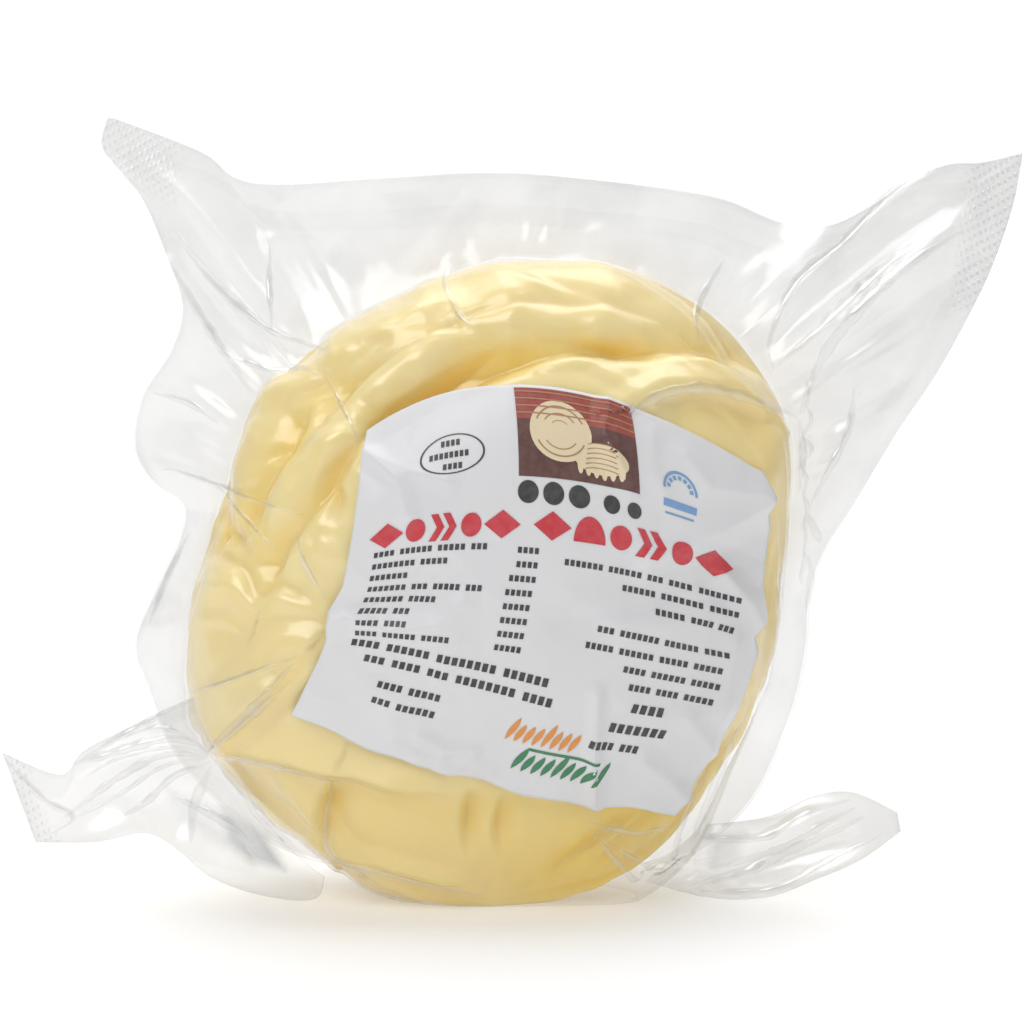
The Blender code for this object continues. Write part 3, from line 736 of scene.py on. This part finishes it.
def addWelts(name, items, depthAt):
    points, faces, crests, paintedShade = [], [], [], []
    for path, high, wide in items:
        morePoints, moreFaces, crest, shade = weltParts(path, wide, high * welt["share"], depthAt)
        paintedShade += shade
        faces += [[index + len(points) for index in face[::-1]] for face in moreFaces]
        points += morePoints
        crests += crest
    points = np.array(points)
    points[:, 2] = np.maximum(points[:, 2], 0.15)
    piece = addMesh(name, points, faces, filmFinish(name))
    crests = np.array(crests)
    haze = welt["haze"] + welt["crestHaze"] * crests
    for attribute, values in (("haze", haze), ("seal", 0 * crests), ("paintedShade", paintedShade), ("crest", crests)):
        addMarks(piece, attribute, values)
    return piece


# where the gathered corners are in shade, as (x, z): the pocket, what is round it, and one at the right
pocket = [(-51, 19.5), (-42.4, 14), (-39.2, 7.7), (-45.7, 9.2), (-50, 13)]
hollow = [(-61.8, 22.8), (-49, 18.8), (-42.4, 14), (-39.2, 7.7), (-45.7, 9.2), (-52.2, 12.5), (-59.3, 17.3)]
nook = [(42, 13), (49, 13.5), (47.5, 9), (42.5, 7)]

# the two gathered corners at the foot: patches between an upper and a lower edge and a root on the ball
wings = dict(
    leftWing=dict(
        top=[(-36.7, -25.6, 48.4), (-42.5, -22.2, 46.4), (-48.0, -18.4, 44.4), (-57.4, -16.5, 40.7),
             (-69.1, -14.5, 34.8), (-77.4, -13.0, 30.2), (-82.0, -12.5, 25.6), (-93.0, -12.0, 29.8)],
        foot=[(-31.8, -9.0, 5.0), (-33.5, -11.5, 1.4), (-42.2, -13.0, 2.0), (-52.8, -14.0, 5.8),
              (-58.6, -14.0, 10.6), (-65.3, -14.5, 14.6), (-74.9, -15.0, 13.0), (-86.5, -15.0, 12.9)],
        root=[(-31.8, -9.0, 5.0), (-36.5, -11.5, 9.5), (-44.0, -13.0, 18.0), (-50.0, -14.5, 26.0),
              (-53.5, -15.5, 30.5), (-46.5, -19.5, 37.5), (-36.7, -25.6, 48.4)],
        fold=2.6, steps=(190, 130), gathers=9, sealStart=0.9, haze=0.17, knot=(-54, 30),
        creases=[
            ([(-53, 30.5), (-60, 33.2), (-68, 31.5), (-80, 27.5)], 1.7, 1.9),
            ([(-53, 29.6), (-62, 29.8), (-71, 25), (-81, 17.5)], 1.7, 1.7),
            ([(-53, 28.5), (-60, 25.5), (-66, 20), (-72, 17)], 1.2, 1.5),
            ([(-53.4, 30.2), (-61, 31.4), (-70, 29.5), (-77, 25.5)], 1.0, 0.9),
            ([(-53.6, 29.4), (-62, 27.4), (-71, 21.5), (-79, 17.5)], 1.0, 0.9),
            ([(-55, 32), (-62, 35.5), (-69, 33.4)], 0.9, 0.9),
            ([(-53, 27.5), (-56.5, 19.5), (-57, 12.5)], 1.2, 2.0),
            ([(-46, 13.5), (-52, 17.5), (-60, 21)], 1.0, 2.0),
            ([(-56.5, 40.4), (-63, 37.4), (-69.1, 34), (-78, 28.5)], 0.8, 1.3),
            ([(-93, 29), (-85, 21), (-79.5, 17.5), (-86.5, 13.6)], 0.9, 1.4),
            ([(-53.2, 29.5), (-48.5, 24.5), (-41.5, 15), (-33, 7)], 1.4, 2.0),
        ],
        # painted shade: the pocket, the hollow and a line beside the folds get a darker film body; the haze
        # changes below are painted shade and reflection
        paintedShadeAreas=[(pocket, 0.95), (hollow, 0.4), ([(-57, 30), (-66, 30.5), (-72, 27), (-64, 27)], 0.5)],
        facets=[(pocket, 0.25), (hollow, 0.1), ([(-56, 31), (-66, 35), (-74, 30), (-62, 29)], -0.08),
                ([(-58, 38), (-50, 42), (-56, 34), (-66, 34)], 0.06)],
    ),
    rightWing=dict(
        top=[(38.0, -6.5, 14.8), (45.0, -8.0, 15.4), (54.0, -7.0, 16.6), (62.0, -6.5, 20.2),
             (69.5, -7.0, 21.2), (78.0, -9.0, 17.6)],
        foot=[(30.0, -6.0, 3.6), (42.0, -9.5, 1.2), (53.0, -11.0, 1.5), (63.0, -11.0, 5.2),
              (71.0, -11.0, 8.8), (78.6, -10.0, 14.2)],
        root=[(30.0, -6.0, 3.6), (34.0, -7.0, 8.5), (38.0, -6.5, 14.8)],
        fold=2.2, steps=(160, 90), gathers=7, sealStart=1.1, haze=0.19, knot=(40, 8),
        creases=[
            ([(38, 3.4), (50, 6.6), (61, 11.8), (72, 17)], 1.4, 2.2),
            ([(42, 6.5), (54, 10), (64, 15.5), (70, 18.4)], 1.2, 2.0),
            ([(40, 12.5), (52, 13), (60, 17.5), (69, 19.8)], 1.1, 2.0),
            ([(40, 2.4), (54, 3.2), (64, 8.2), (75, 13.6)], 0.9, 1.6),
        ],
        # painted shade: the nook gets a darker film body; the haze changes below are painted shade and
        # reflection
        paintedShadeAreas=[(nook, 0.7)],
        facets=[(nook, 0.16), ([(44, 9), (56, 12.5), (62, 16), (50, 14)], -0.08),
                ([(48, 4), (60, 7), (68, 13), (56, 9)], 0.08)],
    ),
)


def addWing(name, wing, depthAt):
    u = np.linspace(0, 1, wing["steps"][0])
    v = np.linspace(0, 1, wing["steps"][1])

    def along(points, parts):
        line = smoothLine(points, False)
        run = np.concatenate([[0], np.cumsum(np.linalg.norm(np.diff(line, axis=0), axis=1))])
        return np.stack([np.interp(parts * run[-1], run, line[:, k]) for k in range(3)], -1)

    top, foot = along(wing["top"], u)[:, None], along(wing["foot"], u)[:, None]
    root, tip = along(wing["root"], v)[None], along([wing["foot"][-1], wing["top"][-1]], v)[None]
    u, v = u[:, None], v[None, :]
    tu, tv = u[..., None], v[..., None]
    corners = (foot[0] * (1 - tv) + top[0] * tv) * (1 - tu) + (foot[-1] * (1 - tv) + top[-1] * tv) * tu
    spots = foot * (1 - tv) + top * tv + root * (1 - tu) + tip * tu - corners
    swell = np.sin(np.pi * v) * np.sin(np.pi * np.minimum(1.0, u * 1.15))
    wave = wing["fold"] * swell * np.cos(2 * np.pi * v + 2 * u)
    ray = np.arctan2(spots[..., 2] - wing["knot"][1], np.abs(spots[..., 0] - wing["knot"][0]) + 3.0)
    gather = 0.7 * np.abs(np.sin(wing["gathers"] * ray)) * np.exp(-2.4 * u) * np.minimum(1.0, 8 * u)
    gather = gather * np.clip((0.68 - v) / 0.12, 0, 1)
    crumple = 0.3 * np.abs(np.sin(spots[..., 0] / 5 + np.sin(spots[..., 2] / 4))) * swell
    spots[..., 1] -= wave + gather + crumple
    spots[..., 2] = np.maximum(spots[..., 2], 0.2)
    for spot in spots.reshape(-1, 3):  # it lies over the film on the ball
        if abs(spot[0]) < 55:
            spot[1] = min(spot[1], depthAt(spot[0], spot[2]) - 0.5)
    x, z = spots[..., 0], spots[..., 2]
    angle = np.arctan2(z - ball["middleZ"], x)
    over = np.hypot(x, z - ball["middleZ"]) < 0.97 * outlineReach(angle)
    over = (over & (z > wing["knot"][1] + 1)).ravel()
    faces = [face for face in gridFaces(*wing["steps"]) if not over[face].all()]  # it ends on the ball
    piece = addMesh(name, spots, faces, filmFinish(name))
    edge = np.minimum(np.minimum(v, 1 - v) * 14 + 0 * u, (1 - u) * 30)
    haze = wing["haze"] * np.clip(u * 12, 0.15, 1) + 0.12 * np.exp(-edge * 2) * np.clip(u * 9, 0, 1)
    seal = 0.5 * np.clip((u - wing["sealStart"]) * 20, 0, 1) + 0 * v
    # painted shade and reflection: haze is raised or lowered and the film body darkened in the listed areas
    for area, change in wing["facets"]:
        haze = haze + change * insideArea(area, x, z, 1.2)
    paintedShade = 0 * haze
    for area, amount in wing["paintedShadeAreas"]:
        paintedShade = np.maximum(paintedShade, amount * insideArea(area, x, z, 0.7))
    for attribute, values in (("haze", np.clip(haze + 0.08 * seal, 0, 1)), ("seal", seal), ("paintedShade", paintedShade),
                              ("crest", 0 * haze)):
        addMarks(piece, attribute, values)
    emboss(piece, name)
    thick = piece.modifiers.new("film", "SOLIDIFY")
    thick.thickness, thick.offset = film["thick"] * mm, 0.0
    return piece, spots


label = dict(
    wide=92.0, high=75.0, lift=0.75, thick=0.25, steps=(150, 124), dip=-1.9,
    top=[(-23.3, 93.0), (10.0, 101.4), (50.7, 84.0)], right=[(35.7, 18.4), (51.5, 53.6), (50.7, 84.0)],
    foot=[(-36.9, 39.4), (-1.0, 26.6), (35.7, 18.4)], left=[(-36.9, 39.4), (-27.6, 63.2), (-23.3, 93.0)],
    creases=[  # (x, z) points as seen from the front, height of the ridge (a valley is below 0) and width
        ([(-31, 56), (-27, 58.5), (-19, 56.0), (-10, 57.0), (-5, 61.5)], 1.0, 1.5),
        ([(-27, 61.5), (-18, 60), (-11, 61)], -0.5, 1.8),
        ([(19.2, 32), (19.8, 24), (19.6, 17.3)], 0.7, 1.4),
        ([(-22.5, 88.5), (-16, 86.0), (-8, 84)], 0.8, 1.3),
        ([(-24, 80), (-12, 75), (-4, 68), (2, 62)], 0.35, 2.2),
        ([(-6, 54), (-10, 46), (-18, 40)], 0.6, 2.0),
        ([(14, 64), (22, 58), (33, 56), (44, 58)], 0.5, 2.4),
        ([(36, 88), (41, 82), (50, 80), (55, 74)], 0.9, 1.6),
        ([(24, 95), (23, 88), (26, 82)], 0.7, 1.3),
        ([(30, 92), (30, 86), (33, 80)], 0.5, 1.2),
        ([(38, 62), (46, 66), (54, 68)], 0.5, 1.8),
        ([(26, 42), (34, 38), (44, 40)], 0.5, 2.0),
        ([(46, 52), (44, 40), (40, 28)], 0.8, 1.6),
        ([(-30, 34.5), (-22, 32), (-14, 31.5)], 0.6, 1.2),
        ([(2, 27), (8, 23), (12, 23)], 0.6, 1.2),
        ([(-34, 44), (-28, 42), (-20, 44)], 0.4, 1.6),
        ([(-18, 35), (-13, 32.5), (-9, 32)], 0.9, 0.9),
        ([(-13, 36), (-8, 33.5), (-3, 33.5)], 0.8, 0.9),
        ([(-9, 30), (-4, 31), (0, 29)], 0.8, 1.0),
        ([(-15, 30.5), (-11, 30.5), (-7, 28.5)], 0.7, 0.8),
        ([(30, 69), (42, 73), (54, 79)], 1.4, 2.0),
        ([(34, 64.5), (46, 66), (56, 70)], -0.9, 2.0),
        ([(44, 66), (49.5, 59), (53, 51)], 1.3, 1.5),
        ([(20, 44), (19.4, 31), (20.2, 18)], 1.1, 1.0),
        ([(29, 30), (34, 25.5), (39, 20)], 1.1, 1.5),
        ([(37, 38), (42, 31), (45, 27)], 1.1, 1.5),
        ([(-21, 52), (-12, 46), (-7, 39)], -1.2, 2.2),
        ([(-24, 90), (-17, 84), (-15, 78)], 1.0, 1.2),
        ([(22, 100), (21, 92), (25, 85)], 1.1, 1.2),
    ],
    kinks=[(0, 59.0, 5.0, 1.6), (1, 53.0, 3.5, 1.7), (1, 76.0, 3.0, 1.1)],  # side, height, reach and size
    hem=0.6,
)


def alongEdge(edge, t):
    start, middle, end = (np.array(point) for point in edge)
    bend = 2 * middle - 0.5 * (start + end)
    t = t[..., None]
    return (1 - t) ** 2 * start + 2 * t * (1 - t) * bend + t * t * end


def labelView(u, v):
    tu, tv = u[..., None], v[..., None]
    rows = alongEdge(label["foot"], u) * (1 - tv) + alongEdge(label["top"], u) * tv
    columns = alongEdge(label["left"], v) * (1 - tu) + alongEdge(label["right"], v) * tu
    low = np.array(label["foot"][0]) * (1 - tu) + np.array(label["foot"][2]) * tu
    high = np.array(label["top"][0]) * (1 - tu) + np.array(label["top"][2]) * tu
    view = rows + columns - low * (1 - tv) - high * tv
    for side, height, reach, size in label["kinks"]:
        kink = np.maximum(0, 1 - np.abs(view[..., 1] - height) / reach)
        view[..., 0] -= size * kink * (u if side else 1 - u) ** 7
    view[..., 1] += label["hem"] * np.sin(23 * u) * np.sin(9 * u) * (1 - v) ** 12
    return view


def labelSpots(across, up, lift=0.0):  # across and up are millimetres on the paper, from its middle
    view = labelView(across / label["wide"] + 0.5, up / label["high"] + 0.5)
    angle, tilt = angleAndTilt(view[..., 0], view[..., 1])
    relief = np.maximum(strandRelief(facing(angle, tilt)), label["dip"])
    relief = relief + np.maximum(-creaseDepth(view[..., 0], view[..., 1], -20 + 0 * across), 0)
    rise = 0.12 * np.sin(across / 5 + np.sin(up / 6)) * np.sin(up / 4.3)
    for path, high, wide in label["creases"]:
        off = alongPath(path, view[..., 0], view[..., 1])[0] / wide
        rise = rise + high * (0.5 * np.exp(-off ** 1.6) + 0.6 * np.maximum(0, 1 - off / 2.4))
    rise = rise + 0.35 * np.maximum(0, np.hypot(across / 46, up / 37.5) - 1.1)  # the corners curl a little
    return ballSpots(angle, tilt, label["lift"] + lift + np.maximum(rise, -0.3), relief)


def paperFinish():
    finish, tree, out = newFinish("labelPaper")
    fibre = noise(tree, 0.35, 4.0)
    tone = mixColours(tree, noise(tree, 16.0) * 0.6, (0.75, 0.75, 0.765), (0.82, 0.82, 0.835))
    bump = makeNode(tree, "ShaderNodeBump", {}, {"Strength": 0.15, "Distance": 0.05 * mm,
                                                 "Height": fibre + noise(tree, 7.0) * 2.0})
    shader = makeNode(tree, "ShaderNodeBsdfPrincipled", {}, {
        "Base Color": tone, "Roughness": fibre * 0.15 + 0.38, "Coat Weight": 0.12, "Coat Roughness": 0.3,
        "Normal": bump})
    tree.links.new(shader.socket, out.inputs["Surface"])
    return finish


def inkFinish(name, colour, spread=0.25):
    finish, tree, out = newFinish(name)
    tone = mixColours(tree, noise(tree, 1.4) * spread, colour, tuple(c * 0.5 + 0.4 for c in colour))
    shader = makeNode(tree, "ShaderNodeBsdfPrincipled", {}, {
        "Base Color": tone, "Roughness": noise(tree, 3.0) * 0.2 + 0.35})
    tree.links.new(shader.socket, out.inputs["Surface"])
    return finish


def addLabel():
    u, v = np.meshgrid(np.linspace(-0.5, 0.5, label["steps"][0]), np.linspace(-0.5, 0.5, label["steps"][1]))
    face = labelSpots(u * label["wide"], v * label["high"])
    under = labelSpots(u * label["wide"], v * label["high"], -label["thick"])
    rows, columns = u.shape
    count = rows * columns
    top = gridFaces(rows, columns)
    faces = top + [[index + count for index in quad[::-1]] for quad in top]
    edge = [*range(columns), *range(2 * columns - 1, count, columns),
            *range(count - 2, count - columns - 1, -1), *range(count - 2 * columns, 0, -columns)]
    for a, b in zip(edge, edge[1:] + edge[:1]):
        faces.append([b, a, a + count, b + count])
    spots = np.concatenate([face.reshape(-1, 3), under.reshape(-1, 3)])
    return addMesh("labelPaper", spots, faces, paperFinish())


class Ink:  # shapes of one colour, printed on the paper
    def __init__(self):
        self.points, self.faces = [], []

    def add(self, points, faces):
        self.faces += [[index + len(self.points) for index in face] for face in faces]
        self.points += points

    def box(self, left, right, low, high, lean=0.0, step=1.5):
        columns = max(2, int((right - left) / step) + 2)
        rows = max(2, int((high - low) / step) + 2)
        points = [(x + lean * (y - low), y) for y in np.linspace(low, high, rows)
                  for x in np.linspace(left, right, columns)]
        self.add(points, gridFaces(rows, columns))

    def disc(self, x, y, wide, high, start=0.0, turn=360.0, hole=0.0, sides=36):
        angles = np.radians(np.linspace(start, start + turn, sides + 1))
        rings = np.linspace(hole, 1.0, 2 if hole > 0.6 else 5)
        points = [(x + wide / 2 * r * math.cos(a), y + high / 2 * r * math.sin(a))
                  for a in angles for r in rings]
        self.add(points, [face[::-1] for face in gridFaces(sides + 1, len(rings))])

    def lines(self, left, right, middle, high, fromRight=False, lean=0.0):  # rows of small equal blocks
        groups, x = [], left
        while x < right - 2 * high:
            length = int(rng.integers(3, 9))
            wide = min(length * 0.72 * high, right - x)
            groups.append((x, x + wide))
            x += wide + 0.6 * high
        shift = right - groups[-1][1] if fromRight else 0.0
        for start, end in groups:
            count = max(1, round((end - start) / (0.72 * high)))
            for k in range(count):
                a = start + shift + k * 0.72 * high
                rise = middle + lean * (a - left)
                self.box(a, a + 0.5 * high, rise - 0.33 * high, rise + 0.33 * high)

    def make(self, name, finish, lift, longest=1.1):  # fine enough to follow the paper
        bm = bmesh.new()
        corners = [bm.verts.new((x, y, 0.0)) for x, y in self.points]
        for face in self.faces:
            bm.faces.new([corners[index] for index in face])
        for _ in range(5):
            long = [edge for edge in bm.edges if edge.calc_length() > longest]
            if not long:
                break
            bmesh.ops.subdivide_edges(bm, edges=long, cuts=1)
            bmesh.ops.triangulate(bm, faces=[face for face in bm.faces if len(face.verts) > 4])
        bm.verts.index_update()
        across, up = (np.array([vert.co[k] for vert in bm.verts]) for k in (0, 1))
        faces = [[vert.index for vert in face.verts] for face in bm.faces]
        bm.free()
        return addMesh(name, labelSpots(across, up, lift), faces, finish, smooth=False)


def blackInk():
    ink = Ink()
    ink.disc(-22.5, 25.6, 15.7, 7.5, hole=0.94)
    for row, a, b in ((27.7, -25.2, -19.4), (25.5, -28, -17), (23.3, -24.6, -20)):
        ink.lines(a, b, row, 1.7)
    for x, wide, high in ((-7.2, 4.6, 4.2), (-1.6, 4.6, 4.2), (4.0, 4.6, 4.2), (11.4, 3.4, 3.4),
                          (16.4, 3.0, 3.0)):
        ink.disc(x + wide / 2, 15.9 + high / 2, wide, high)
    for row, right in zip(np.linspace(7.6, -11.2, 8), (-9, -18, -31, -13, -22, -28, -24, -18)):
        ink.lines(-39.5, right, row, 1.8)
        ink.lines(-8.0, -1.5, row - 0.4, 1.7, fromRight=True)
    for row, left in zip((6.2, 3.0, -0.2), (2, 14, 20)):
        ink.lines(left, 41, row - 0.4, 1.7, fromRight=True, lean=-0.02)
    for row, left in zip((-5.6, -8.8, -12.0, -15.0), (13, 11, 20, 22)):
        ink.lines(left, 40, row, 1.7, fromRight=True, lean=-0.02)
    ink.lines(-40, 11, -13.6, 2.4, lean=-0.07)
    ink.lines(-36, 7, -17.2, 2.4, lean=-0.07)
    ink.lines(24, 37, -18.6, 2.5)
    ink.lines(21, 34, -22.6, 2.5)
    ink.lines(18, 30, -26.0, 2.0)
    ink.lines(-31, -15, -22.6, 2.1, lean=-0.05)
    ink.lines(-31, -11, -26.2, 2.1, lean=-0.05)
    return ink


def redInk():
    ink = Ink()
    for x, kinds, rise in ((-41.2, (0, 1, 2, 1, 0), 0.01), (-3.4, (0, 3, 1, 2, 1, 0), -0.02)):
        for kind in kinds:
            wide = (8.2, 5.4, 7.0, 7.4)[kind]
            ornament(ink, kind, x, wide, 9.3 + rise * x)
            x += wide + 0.2
    return ink


def ornament(ink, kind, x, wide, low, high=5.4):  # diamond, disc, arrow or dome
    top, middle = low + high, low + high / 2
    if kind == 0:
        ink.add([(x, middle), (x + wide / 2, low), (x + wide, middle), (x + wide / 2, top)], [[0, 1, 2, 3]])
    elif kind == 1:
        ink.disc(x + wide / 2, middle, wide - 0.8, 4.6)
    elif kind == 2:
        for start in (x + 0.4, x + 3.2):
            ink.add([(start, low), (start + 1.7, low), (start + 3.4, middle), (start + 1.7, top),
                     (start, top), (start + 1.7, middle)], [[0, 1, 2, 5], [5, 2, 3, 4]])
    else:
        ink.disc(x + wide / 2, low + 0.6, wide - 0.6, 1.8 * high, 0, 180)


def pictureInks():
    field, curd, stripe, backing = Ink(), Ink(), Ink(), Ink()
    field.box(-7.0, 19.0, 20.8, 36.9)
    backing.box(-7.0, 19.0, 31.2, 36.9)
    curd.disc(2.6, 29.4, 13.6, 11.0)
    curd.disc(11.0, 25.4, 11.5, 5.6)
    for k in range(6):
        curd.disc(6.6 + 1.7 * k, 23.4 + 0.2 * abs(k - 3), 1.3, 3.4)
        stripe.disc(11.0, 22.4 + 0.9 * k, 9.4 - 0.5 * k, 3.0, 40, 100, hole=0.9)
    for size, start in ((0.84, 25), (0.6, 35), (0.36, 45), (0.84, 205), (0.6, 215)):
        stripe.disc(2.6, 29.4, 13.6 * size, 11.0 * size, start, 180 - 2 * (start % 180), hole=0.94)
    for k in range(4):
        stripe.box(-7.0, 19.0, 32.2 + 1.3 * k, 32.45 + 1.3 * k)
    return field, curd, stripe, backing


def badgeInk():
    ink = Ink()
    ink.disc(27.5, 23.6, 7.2, 8.0, 0, 180, hole=0.86)
    for k in range(7):
        ink.disc(27.5, 23.6, 5.6, 6.2, 6 + 25 * k, 16, hole=0.74, sides=4)
    ink.box(23.9, 31.1, 20.0, 21.5)
    ink.box(24.4, 30.6, 18.6, 19.0)
    return ink


def leafInk(x, y, count, wide, high, lean):  # a row of slanted leaves
    ink = Ink()
    for k in range(count):
        tall = high * (1.3 if k % 4 == 0 else 1.0)
        points = [(x + lean * t * tall + side * wide / 2 * math.sin(math.pi * t) ** 0.8, y + t * tall)
                  for side in (-1, 1) for t in np.linspace(0, 1, 7)]
        ink.add(points, [[i, i + 7, i + 8, i + 1] for i in range(6)])
        x += wide * 1.35
    return ink


def addPrint():
    field, curd, stripe, backing = pictureInks()
    green = leafInk(4.0, -33.5, 9, 1.7, 3.6, 0.45)
    green.box(6.0, 22.0, -29.4, -28.9)
    inks = dict(
        blackPrint=(blackInk(), (0.014, 0.014, 0.016), 0.10),
        redPrint=(redInk(), (0.60, 0.012, 0.03), 0.13),
        pictureField=(field, (0.10, 0.022, 0.014), 0.10),
        pictureBacking=(backing, (0.34, 0.035, 0.02), 0.14),
        pictureRound=(curd, (0.82, 0.68, 0.44), 0.18),
        pictureStripes=(stripe, (0.42, 0.22, 0.10), 0.22),
        badgePrint=(badgeInk(), (0.16, 0.34, 0.62), 0.10),
        orangeMark=(leafInk(0.2, -28.4, 8, 1.5, 3.6, 0.4), (0.78, 0.28, 0.03), 0.10),
        greenMark=(green, (0.01, 0.20, 0.07), 0.10),
    )
    return [ink.make(name, inkFinish(name, colour), lift) for name, (ink, colour, lift) in inks.items()]


studio = dict(
    key=dict(place=(-0.55, -0.75, 0.95), size=0.75, power=6.7, aim=(0.0, 0.0, 0.06)),
    fill=dict(place=(0.9, -0.8, 0.45), size=0.9, power=1.5, aim=(0.0, 0.0, 0.06)),
    top=dict(place=(0.1, 0.35, 1.1), size=0.9, power=3.2, aim=(0.0, 0.0, 0.06)),
    backdrop=dict(place=(0.0, 0.5, 1.5), size=1.4, power=12.3, aim=(0.0, 1.4, 0.3)),
    world=0.235, table=0.35, lens=174.0, distance=0.95, tilt=math.radians(7), aim=(0.0042, 0.0, 0.0745),
)


def addStage():
    finish, tree, out = newFinish("paleFloor")
    tone = mixColours(tree, noise(tree, 400.0), (0.74, 0.74, 0.74), (0.76, 0.76, 0.76))
    shader = makeNode(tree, "ShaderNodeBsdfPrincipled", {}, {
        "Base Color": tone, "Roughness": 0.6, "Emission Color": tone, "Emission Strength": studio["table"]})
    tree.links.new(shader.socket, out.inputs["Surface"])
    profile = [(y, 0.0) for y in np.linspace(-1500, 900, 9)]
    profile += [(900 + 500 * math.sin(a), 500 - 500 * math.cos(a))
                for a in np.linspace(0.15, math.pi / 2, 12)]
    profile += [(1400, z) for z in (800, 1200, 1800)]
    spots = [[(x, y, z) for x in (-2200, -700, 700, 2200)] for y, z in profile]
    floor = addMesh("studioSweep", np.array(spots, float), gridFaces(len(profile), 4), finish)


def addLights():
    for name in ("key", "fill", "top", "backdrop"):
        lamp = studio[name]
        light = bpy.data.lights.new(name, "AREA")
        light.energy, light.size = lamp["power"], lamp["size"]
        holder = bpy.data.objects.new(name, light)
        holder.location = lamp["place"]
        toward = Vector(lamp["aim"]) - Vector(lamp["place"])
        holder.rotation_euler = toward.to_track_quat("-Z", "Y").to_euler()
        bpy.context.scene.collection.objects.link(holder)
    world = bpy.data.worlds.new("studio")
    world.use_nodes = True
    world.node_tree.nodes["Background"].inputs["Color"].default_value = (1, 1, 1, 1)
    world.node_tree.nodes["Background"].inputs["Strength"].default_value = studio["world"]
    bpy.context.scene.world = world


def addCamera():
    lens = bpy.data.cameras.new("camera")
    lens.lens, lens.sensor_width = studio["lens"], 36.0
    lens.clip_start, lens.clip_end = 0.05, 20
    holder = bpy.data.objects.new("camera", lens)
    aim = Vector(studio["aim"])
    back = Vector((0, -math.cos(studio["tilt"]), math.sin(studio["tilt"])))
    holder.location = aim + back * studio["distance"]
    holder.rotation_euler = (-back).to_track_quat("-Z", "Y").to_euler()
    bpy.context.scene.collection.objects.link(holder)
    bpy.context.scene.camera = holder


def dress(piece, node, slot):
    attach(piece, "root")
    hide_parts(node)
    piece.visible_shadow = slot != "film"  # clear film lets the light through


addCamera()
addLights()
addStage()
print("studio ready")

dress(addCheese(), "vacuum_pouch", "cheese")
print("cheese wound")

frontFilm, frontSpots = addFilm("frontFilm", -1, film["front"])
dress(frontFilm, "vacuum_pouch", "film")
dress(addFilm("backFilm", 1, film["back"])[0], "vacuum_pouch", "film")
ballSkin = skinReader(frontSpots)
dress(addWelts("filmFolds", folds, ballSkin), "vacuum_pouch", "film")
print("film drawn down")

for wingName, wing in wings.items():
    corner, cornerSpots = addWing(wingName, wing, ballSkin)
    dress(corner, "vacuum_pouch", "film")
    dress(addWelts(wingName + "Folds", wing["creases"], skinReader(cornerSpots)), "vacuum_pouch", "film")
print("corners gathered")

dress(addLabel(), "label", "paper")
for printed in addPrint():
    dress(printed, "label", "print")
print("label printed")

bpy.context.scene.view_settings.view_transform = "Standard"
